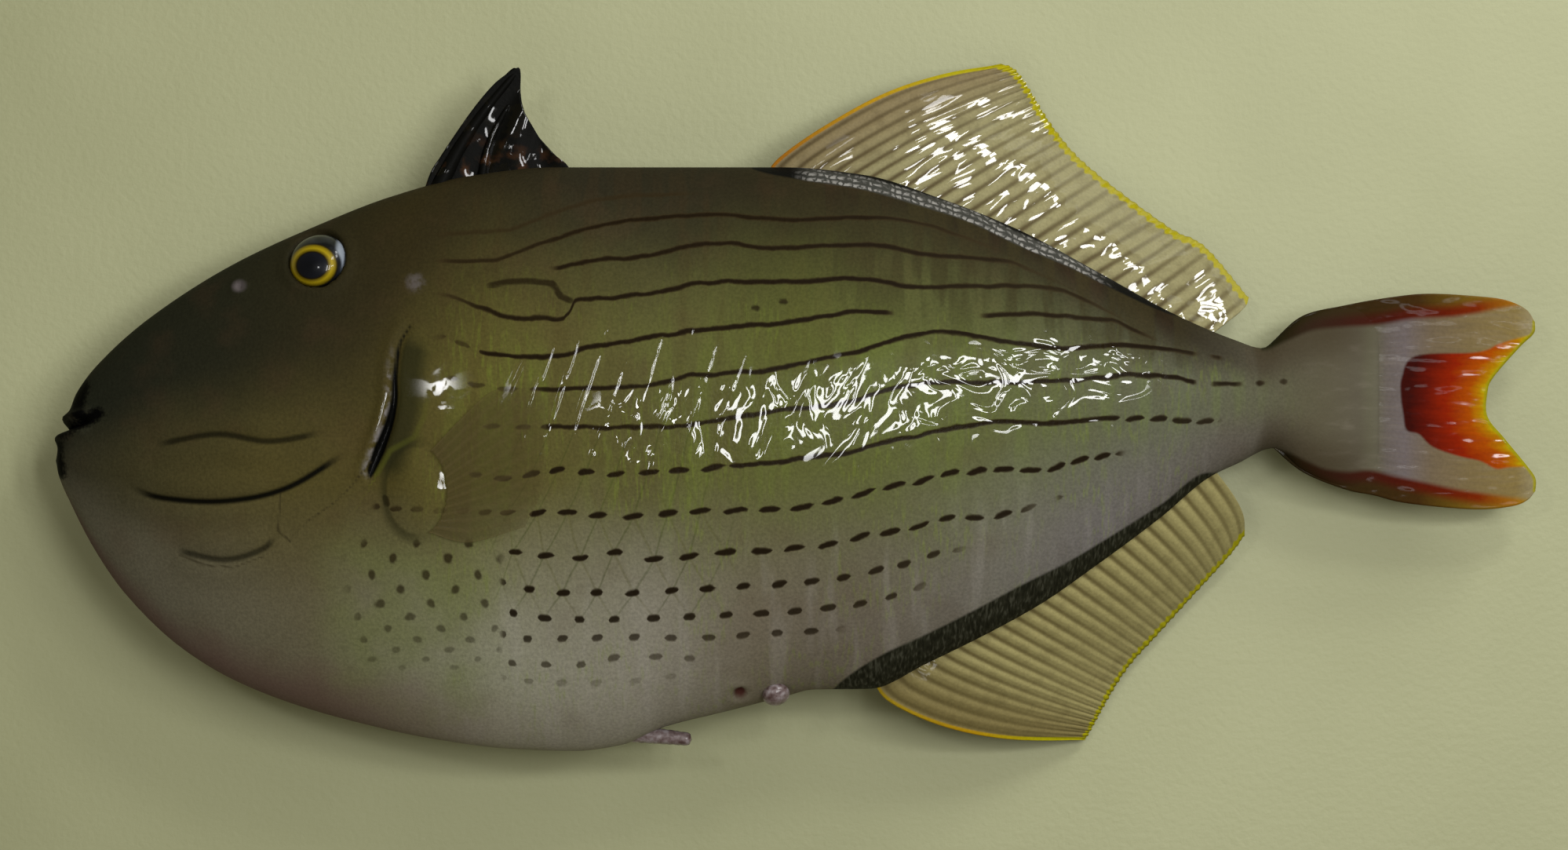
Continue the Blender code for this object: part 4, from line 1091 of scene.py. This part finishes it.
def scaled_hide():
    """Thick hide of small tall scales, wet. It gives low olive colours with fine relief and sharp broken glints."""
    material, tree = new_material("wet scaled hide")
    where = add(tree, "TexCoord").outputs["Object"]
    x = add(tree, "SeparateXYZ", {0: where}).outputs["X"]
    along = add(tree, "MapRange", {"Value": x, "From Min": NOSE_X * MM, "From Max": TAIL_TIP_X * MM})
    patches = clouds(tree, where, 14)
    high = stirred(tree, "highness", patches, 0.25)

    row = stirred(tree, "row", clouds(tree, where, 4.5, detail=4.0), 0.2)
    past_seventh = add(tree, "Math", {0: row, 1: LATTICE_ROW}, operation="SUBTRACT")
    half_row = add(tree, "Math", {0: past_seventh, 1: 0.5}, operation="MULTIPLY")
    leaning = wrapped(tree, add(tree, "Math", {0: "column", 1: half_row}, operation="ADD"))
    other = wrapped(tree, add(tree, "Math", {0: "column", 1: half_row}, operation="SUBTRACT"))
    seam = add(tree, "Math", {0: leaning, 1: other}, operation="MINIMUM")
    trunk = cover(tree, (x, -0.070, -0.055), (x, 0.092, 0.070))
    seams = cover(tree, (seam, 0.06, 0.01), trunk)
    streaks = clouds(tree, where, 0.55, (1, 0.16, 0.3), 2.0)
    grain = clouds(tree, where, 0.5, detail=2.0)
    bars = clouds(tree, where, 3.2, (1, 0.12, 0.12), 2.0)

    middle = cover(tree, (x, -0.005, -0.02), (x, -0.058, -0.048))
    breast = cover(tree, (along, 0.17, 0.21), (along, 0.33, 0.27), (high, -0.15, -0.4), (high, -0.98, -0.8))
    colour = layered(
        tree, hide_colours(tree, along, high),
        ("#39401a", (leaning, 0.05, 0.01), middle, (row, 5.5, 6.5), (row, 12.0, 10.0), 0.4),
        ("#4c4a24", (other, 0.06, 0.01), middle, (row, 6.5, 7.5), (row, 11.5, 10.0), 0.3),
        ("#6f7f2a", (streaks, 0.5, 0.7), (patches, 0.4, 0.62), trunk, (high, 0.8, 0.3), 0.26),
        ("#63742a", (bars, 0.48, 0.62), trunk, (high, -0.55, -0.1), (high, 0.6, 0.2), 0.16),
        ("#3c2c18", (bars, 0.5, 0.36), trunk, (high, -0.3, 0.3), 0.16),
        ("#4a3526", (clouds(tree, where, 9), 0.5, 0.75), 0.15),
        ("#322c18", (bars, 0.38, 0.56), (high, 0.25, 0.6), (along, 0.42, 0.6), (along, 0.78, 0.74), 0.7),
        ("#626a38", breast, (patches, 0.2, 0.6), 0.5),
        ("#96928c", (bars, 0.5, 0.7), trunk, (high, -0.2, -0.6), 0.18),
    )
    colour = grained(tree, colour, grain, 0.86, 1.12)

    ink = stripe_ink(tree, row, stirred(tree, "column", clouds(tree, where, 4.0), 0.35))
    colour = layered(
        tree, colour,
        ("#2e2413", (ink, 0.0, 0.6), 0.7),
        ("#170f05", (ink, 0.3, 1.0), 0.97),
        ("#1d1508", ("short_lines", 0.75, 0.3), 0.85),
        ("#201608", breast_spots(tree, where), 0.85),
        # Painted sheen: pale violet, broken up, behind the eye.
        ("#605a5a", ("sheen_behind_eye", 2.4, 0.6), (clouds(tree, where, 1.5), 0.35, 0.6), 0.55),
        ("#3a1210", ("vent", 1.5, 0.6), 0.9),
        ("#565050", ("nostril", 1.5, 0.4)),
        ("#222210", ("gill", 0.4, 1.2), ("gill", 6.6, 3.2), ("gill_fade", 0.05, 0.5), 0.8),
        # Painted highlight: pale violet along the wet rim of the gill slit.
        ("#a29fa8", "crest_highlight", (clouds(tree, where, 2.0), 0.4, 0.6), 0.42),
        # Painted shade: a dark rim on the left side of the pectoral lobe's bulge.
        ("#22210f", ("lobe", 0.9, 1.02), ("lobe", 1.3, 1.05), (x, -0.063, -0.068), 0.6),
        # Painted shade: black inside the opening of the gill slit.
        ("#040403", ("gill_inside", -0.25, 0.3)),
    )
    # Painted shade: near-black along the cheek grooves, fading towards their ends.
    for number, depth in enumerate((0.75, 1.0, 0.7)):
        away = add(tree, "Math", {0: f"groove_{number}"}, operation="ABSOLUTE")
        colour = paint(tree, colour, "#0b0a05", (away, 0.85, 0.15), (f"groove_fade_{number}", 0.02, 0.4), depth)
    rim = add(tree, "Math", {0: "flap_rim"}, operation="ABSOLUTE")
    ticks = clouds(tree, where, 0.45, (1, 0.25, 0.3), 1.0)
    under = add(tree, "ValToRGB", {0: ticks}, stops=((0.35, "#1a1a12"), (0.55, "#27271d"), (0.7, "#3c3c32")))
    colour = layered(
        tree, colour,
        # Painted shade: brown along the fine creases of the gill cover.
        ("#2a2416", ("creases", 0.35, 0.05), 0.6),
        ("#55591c", (rim, 0.8, 0.1), (high, 0.35, 0.0), 0.4),
        ("#040404", (stirred(tree, "lips", grain, 1.4), 1.7, 0.5)),
        ("#5a4040", (high, -0.72, -0.95), (x, -0.02, -0.1), 0.6),
        (sheath_colours(tree, where), ("dorsal_sheath", -0.2, 0.25)),
        (under, ("anal_sheath", -0.3, 0.35)),
        (pale_tail(tree, where), (x, 0.08, 0.1)),
    )
    colour = tail_bands(tree, colour, x)

    leaned = add(tree, "VectorRotate", {"Vector": where, "Angle": math.radians(24)}, rotation_type="Z_AXIS")
    film = clouds(tree, leaned, 4.2, (1, 0.6, 1), 0.7)
    film.inputs["Distortion"].default_value = 0.8
    curls = clouds(tree, where, 4.2, (0.6, 1, 1), 0.7)
    curls.inputs["Distortion"].default_value = 1.1
    film = add(tree, "Mix", {"Factor": cover(tree, (x, 0.010, 0.026)), "A": film, "B": curls})
    ripples = clouds(tree, leaned, 1.6, (1, 0.5, 1), 0.0)
    ribs = cover(tree, (leaning, 0.14, 0.0), "streaky", (film, 0.35, 0.6))
    crests = cover(tree, (leaning, 0.2, 0.1), "streaky", 0.95)
    pooled = cover(tree, (cover(tree, "pool", "pool"), 0.05, 0.38))
    wet = add(tree, "Math", {0: pooled, 1: "wet_spots"}, operation="MAXIMUM")
    wet = add(tree, "Math", {0: wet, 1: crests}, operation="MAXIMUM")
    finish_material(
        tree, Base_Color=colour, IOR=1.4, Specular_IOR_Level=0.05,
        Roughness=add(tree, "MapRange", {"Value": pooled, "To Min": 0.6, "To Max": 0.3}),
        Normal=raised(tree, (seams, -0.008), (grain, 0.05), (streaks, 0.04), (ink, -0.03)),
        Coat_Weight=add(tree, "MapRange", {"Value": wet, "To Min": 0.0, "To Max": 0.85}),
        Coat_Roughness=0.05, Coat_IOR=1.5,
        Coat_Normal=raised(
            tree, (cover(tree, film, "pool"), 0.95), (cover(tree, ripples, "pool", (x, 0.01, -0.012)), 0.16),
            (film, 0.1), (ribs, 0.16), (cover(tree, ripples, "wet_spots"), 0.08),
        ),
    )
    return material


def rayed_skin(name, ray, web, rim, rays, rim_width, wetness, root_tint, hinge):
    """Bony rays under thin wet skin: pale ridges with darker skin between, streaked with long glints."""
    material, tree = new_material(name)
    where = add(tree, "TexCoord").outputs["Object"]
    uv = add(tree, "UVMap", uv_map="UVMap")
    spot = add(tree, "SeparateXYZ", {0: uv})
    count = add(tree, "Math", {0: spot.outputs["X"], 1: float(rays - 1)}, operation="MULTIPLY")
    mottle = clouds(tree, where, 3)
    fading = add(tree, "MapRange", {"Value": spot.outputs["Y"], "From Min": 0.1, "To Min": 0.9, "To Max": 0.35})
    colour = paint(tree, ray, root_tint, (spot.outputs["X"], 0.24, 0.02), 0.6)
    colour = paint(tree, colour, web, (wrapped(tree, count), 0.2, 0.48), fading)
    colour = paint(tree, colour, web, (mottle, 0.45, 0.75), 0.25)
    twice = add(tree, "Math", {0: count, 1: 1.5}, operation="MULTIPLY")
    beads = cover(tree, (wrapped(tree, twice), 0.1, 0.45), rim_width * -0.4)
    reach = add(tree, "Math", {0: stirred(tree, "to_edge", mottle, rim_width * 0.8), 1: beads}, operation="ADD")
    edge = cover(tree, (reach, rim_width * 0.95, rim_width * 0.6))
    front = cover(tree, ("to_front", 0.7, 0.4))
    border = add(tree, "ValToRGB", {0: spot.outputs["Y"]}, stops=((0.1, hinge), (0.5, "#a07c0a"), (0.8, rim)))
    colour = paint(tree, colour, border, add(tree, "Math", {0: edge, 1: front}, operation="MAXIMUM"))
    grain = clouds(tree, where, 0.5)
    colour = grained(tree, colour, grain, 0.9, 1.08)
    broad = clouds(tree, where, 13, detail=0.0)
    along_rays = add(tree, "VectorMath", {0: uv, 1: (rays * 0.75, 2.1, 0.0)}, operation="MULTIPLY")
    film = add(tree, "TexNoise", {"Vector": along_rays, "Scale": 1.0, "Detail": 1.0, "Distortion": 0.4})
    level = add(tree, "Attribute", attribute_name="film").outputs["Vector"]
    finish_material(
        tree, Base_Color=colour, Roughness=0.6, IOR=1.4, Specular_IOR_Level=0.1,
        Normal=raised(tree, (grain, 0.06)),
        Coat_Weight=cover(tree, (spot.outputs["X"], 0.04, 0.15), wetness), Coat_Roughness=0.05, Coat_IOR=1.5,
        Coat_Normal=raised(tree, (film, 1.0), (broad, 3.0), over=level),
    )
    return material


def tail_skin():
    """Tail fin: cream lobes, a fiery crescent and dark red bands, under a thin wet film."""
    material, tree = new_material("wet tail fin skin")
    where = add(tree, "TexCoord").outputs["Object"]
    uv = add(tree, "UVMap", uv_map="UVMap")
    share = add(tree, "SeparateXYZ", {0: uv})
    place = add(tree, "SeparateXYZ", {0: where})
    count = add(tree, "Math", {0: share.outputs["X"], 1: float((CAUDAL["rays"] - 1) * 3)}, operation="MULTIPLY")
    between = cover(tree, (wrapped(tree, count), 0.15, 0.48))
    colour = paint(tree, pale_tail(tree, where), "#5f5142", between, 0.1)
    flames = clouds(tree, where, 2.5, (0.35, 1.6, 1))
    licked = stirred(tree, "to_edge", flames, 4.0)
    inward = add(tree, "MapRange", {"Value": licked, "From Min": 0.0, "From Max": 15.5})
    fire = add(tree, "ValToRGB", {0: inward}, stops=(
        (0.0, "#a08c06"), (0.08, "#9c6a03"), (0.2, "#964202"), (0.45, "#7c1c03"), (0.7, "#541005"),
        (0.9, "#320a06"),
    ))
    colour = paint(tree, colour, fire, ("crescent", -0.35, 0.25))
    colour = tail_bands(tree, colour, place.outputs["X"])
    colour = paint(tree, colour, "#8a8410", ("to_edge", 0.7, 0.25), 0.9)
    grain = clouds(tree, where, 0.6)
    wet = cover(tree, ("crescent", 0.0, 1.0), ("to_edge", 7.0, 4.0), (flames, 0.53, 0.6), 0.55)
    finish_material(
        tree, Base_Color=grained(tree, colour, grain, 0.92, 1.07),
        Roughness=0.75, IOR=1.4, Specular_IOR_Level=0.04,
        Normal=raised(tree, (between, -0.012), (grain, 0.04)),
        Coat_Weight=add(tree, "Math", {0: wet, 1: 0.04}, operation="ADD"), Coat_Roughness=0.08, Coat_IOR=1.5,
        Coat_Normal=raised(tree, (clouds(tree, where, 2.6, (0.5, 1.3, 1), detail=0.5), 0.4)),
    )
    return material


def black_spiny_skin():
    """Black skin stretched over bony spines, wet: nearly black, brown where it is thin, with hard white glints."""
    material, tree = new_material("wet black spine skin")
    where = add(tree, "TexCoord").outputs["Object"]
    y = add(tree, "SeparateXYZ", {0: where}).outputs["Y"]
    colour = paint(tree, "#0b0b09", "#3a2413", (clouds(tree, where, 3.0), 0.5, 0.7), (y, 0.05, 0.038))
    finish_material(
        tree, Base_Color=colour, Roughness=0.5, IOR=1.4, Specular_IOR_Level=0.05,
        Normal=raised(tree, (clouds(tree, where, 0.5), 0.05)),
        Coat_Weight=cover(tree, (clouds(tree, where, 3.5), 0.53, 0.58), 0.75), Coat_Roughness=0.06, Coat_IOR=1.4,
        Coat_Normal=raised(tree, (clouds(tree, where, 3.0, detail=0.5), 0.2)),
    )
    return material


def clear_membrane():
    """Thin brownish membrane with fine rays: the hide shows through it."""
    material, tree = new_material("thin brown fin membrane")
    where = add(tree, "TexCoord").outputs["Object"]
    spot = add(tree, "SeparateXYZ", {0: add(tree, "UVMap", uv_map="UVMap")})
    count = add(tree, "Math", {0: spot.outputs["X"], 1: float(PECTORAL["rays"] - 1)}, operation="MULTIPLY")
    ray = cover(tree, (wrapped(tree, count), 0.3, 0.08))
    fading = add(tree, "MapRange", {"Value": spot.outputs["Y"], "To Min": 0.3, "To Max": 0.1})
    clear = add(tree, "Math", {0: ray, 1: 0.04, 2: fading}, operation="MULTIPLY_ADD", use_clamp=True)
    finish_material(
        tree, Base_Color=paint(tree, "#54492a", "#5c5030", ray), Roughness=0.5, IOR=1.38, Specular_IOR_Level=0.2,
        Alpha=clear, Coat_Weight=0.05, Coat_Roughness=0.1, Coat_IOR=1.33,
        Normal=raised(tree, (clouds(tree, where, 2.5), 0.2)),
    )
    return material


def eye_surface():
    """Wet eye: golden iris round a deep blue-black pupil, grey-violet at the rim and a painted reflection on its
    right side, under a clear glossy cornea.
    """
    material, tree = new_material("wet fish eye")
    where = add(tree, "TexCoord").outputs["Object"]
    flat = add(tree, "VectorMath", {0: where, 1: (1.0, 1.0, 0.0)}, operation="MULTIPLY")
    centre = (PUPIL[0] * MM, PUPIL[1] * MM, 0.0)
    from_pupil = add(tree, "VectorMath", {0: flat, 1: centre}, operation="SUBTRACT")
    shrink = (1 / (IRIS_RADII[0] * MM), 1 / (IRIS_RADII[1] * MM), 0.0)
    oval = add(tree, "VectorMath", {0: from_pupil, 1: shrink}, operation="MULTIPLY")
    reach = add(tree, "VectorMath", {0: oval}, operation="LENGTH").outputs["Value"]
    iris = add(tree, "ValToRGB", {0: reach}, stops=(
        (0.0, "#090b10"), (0.56, "#11131a"), (0.62, "#161006"), (0.69, "#665608"), (0.79, "#988412"),
        (0.9, "#77660a"), (0.97, "#2e260a"), (1.03, "#12100c"),
    ))
    white = add(tree, "ValToRGB", {0: clouds(tree, where, 2.0)}, stops=((0.35, "#0e1013"), (0.65, "#202329")))
    colour = paint(tree, iris, white, (reach, 0.98, 1.08))
    x = add(tree, "SeparateXYZ", {0: where}).outputs["X"]
    # Painted reflection: a pale grey-blue crescent on the right side of the rim.
    colour = paint(tree, colour, "#8f98a4", (reach, 1.08, 1.2), (x, -0.0812, -0.0802), 0.8)
    finish_material(
        tree, Base_Color=colour, Roughness=0.35, IOR=1.38, Specular_IOR_Level=0.2,
        Coat_Weight=0.45, Coat_Roughness=0.03, Coat_IOR=1.38,
    )
    return material


def tender_flesh():
    """Soft pink flesh, wet: pale rose with darker veins and a sharp glint."""
    material, tree = new_material("wet pink flesh")
    where = add(tree, "TexCoord").outputs["Object"]
    veins = clouds(tree, where, 1.0)
    colour = add(tree, "ValToRGB", {0: veins}, stops=((0.3, "#4a3836"), (0.5, "#6c5e5e"), (0.7, "#8c8486")))
    finish_material(
        tree, Base_Color=colour, Roughness=0.45, IOR=1.4, Normal=raised(tree, (veins, 0.12)), Coat_Weight=0.8,
        Coat_Roughness=0.08, Coat_IOR=1.33,
    )
    return material


def plain_floor():
    """Plain pale floor, matt, with a faint unevenness so that it isn't flat."""
    material, tree = new_material("plain pale floor")
    where = add(tree, "TexCoord").outputs["Object"]
    colour = add(tree, "ValToRGB", {0: clouds(tree, where, 60)}, stops=((0.3, "#9b9d78"), (0.7, "#a3a580")))
    finish_material(tree, Base_Color=colour, Roughness=0.6, Normal=raised(tree, (clouds(tree, where, 1.2), 0.1)))
    return material


# Stage


def lamp(name, place, aim, size, power):
    bpy.ops.object.select_all(action="DESELECT")
    bpy.ops.object.light_add(type="AREA", location=[c * MM for c in place])
    made = bpy.context.object
    made.name = name
    made.data.shape = "RECTANGLE"
    made.data.size, made.data.size_y = size[0] * MM, size[1] * MM
    made.data.energy = power
    way = (Vector(aim) - Vector(place)).normalized()
    made.rotation_euler = (math.asin(way.y), math.atan2(-way.x, -way.z), 0.0)
    return made


def mirrored(x, y, distance):
    """Where a lamp stands so that the camera sees it in the wet flank at (x, y)."""
    spot = Vector((x, y, float(flank(x, y, 1))))
    normal = flank_normal(x, y, 1)
    to_camera = (Vector(CAMERA_AT) - spot).normalized()
    return spot + (normal * (2 * normal.dot(to_camera)) - to_camera) * distance, spot


def set_stage():
    bpy.ops.object.select_all(action="DESELECT")
    bpy.ops.mesh.primitive_plane_add(size=3.0, location=(0, 0, 0))
    floor = bpy.context.object
    floor.name = "floor"
    floor.data.materials.append(plain_floor())
    world = bpy.data.worlds.new("soft room")
    bpy.context.scene.world = world
    world.use_nodes = True
    glow = world.node_tree.nodes["Background"]
    glow.inputs["Color"].default_value = linear("#e8cc5c")
    glow.inputs["Strength"].default_value = 0.1
    window = lamp("window", (200, 500, 500), (20, 20, 0), (600, 600), 0.8)
    fill = lamp("fill", (-300, -400, 500), (-20, -20, 0), (500, 500), 0.75)
    window.visible_glossy = False
    fill.visible_glossy = False
    place, spot = mirrored(7.0, 1.0, 600)
    for number, shift in enumerate((-55, 55)):
        lamp(f"tube_{number}", place + Vector((shift, 0, 0)), spot, (50, 230), 0.9)
    place, spot = mirrored(-63.0, 3.1, 600)
    lamp("gill_glint", place, spot, (56, 56), 0.3)
    place, spot = mirrored(38.0, 6.0, 600)
    lamp("rear_glint", place, spot, (120, 56), 0.55)
    for number, place in enumerate(((250, 418, 430), (394, 460, 268), (382, 626, 198))):
        lamp(f"fin_glint_{number}", place, (40, 46, 10), (110, 110), 0.8)
    bpy.ops.object.camera_add(location=Vector(CAMERA_AT) * MM, rotation=(0, 0, 0))
    camera = bpy.context.object
    camera.data.sensor_width = SENSOR_WIDTH
    camera.data.lens = SENSOR_WIDTH * MID_DISTANCE / PHOTO_SPAN
    bpy.context.scene.camera = camera
    bpy.context.scene.view_settings.view_transform = "Standard"


def main():
    skin = make_skin()
    dress(skin, scaled_hide())
    dorsal = median_fin("soft_dorsal_fin", **SOFT_DORSAL)
    dorsal_skin = rayed_skin(
        "wet beige fin skin", ray="#8a8460", web="#483c24", rim="#9a9008", rays=SOFT_DORSAL["rays"], rim_width=1.2,
        wetness=1.0, root_tint="#6a563c", hinge="#8a5808",
    )
    dress(dorsal, dorsal_skin)
    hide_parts("second_dorsal_fin")
    anal = median_fin("soft_anal_fin", **ANAL)
    anal_skin = rayed_skin(
        "wet cream fin skin", ray="#928a5c", web="#544a2a", rim="#9a9408", rays=ANAL["rays"], rim_width=0.8,
        wetness=0.12, root_tint="#5c4c28", hinge="#8a7410",
    )
    dress(anal, anal_skin)
    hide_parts("anal_fin")
    dress(make_tail_fin(), tail_skin())
    membrane = clear_membrane()
    left = pectoral_fin("left_pectoral_fin", **PECTORAL)
    dress(left, membrane)
    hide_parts("pectoral_fin_left")
    right = pectoral_fin("right_pectoral_fin", **FOLDED_PECTORAL)
    dress(right, membrane)
    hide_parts("pectoral_fin_right")
    spiny = black_spiny_skin()
    web = make_spiny_web()
    dress(web, spiny)
    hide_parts("first_dorsal_fin")
    rods = [tapered_rod(f"spine_{number}", *sizes, bow=1.2) for number, sizes in enumerate(SPINES)]
    dress(join("dorsal_spines", rods), spiny)
    stub = tapered_rod("pelvic_stub", *PELVIC_SPINE)
    dress(stub, tender_flesh())
    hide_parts("pelvic_spine")
    x, y, radius = PAPILLA
    centre = (x, y, float(flank(x, y + 0.8, 1)))
    bud = ball("vent_papilla", centre, flank_normal(x, y + 1.2, 1), (radius * 1.05, radius, radius * 0.8))
    dress(bud, tender_flesh())
    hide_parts("anal_papilla")
    eye = eye_surface()
    for side, name, node in ((1, "left_eyeball", "eye_left"), (-1, "right_eyeball", "eye_right")):
        ball_piece = make_eye(name, side)
        dress(ball_piece, eye)
        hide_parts(node)
    set_stage()


main()
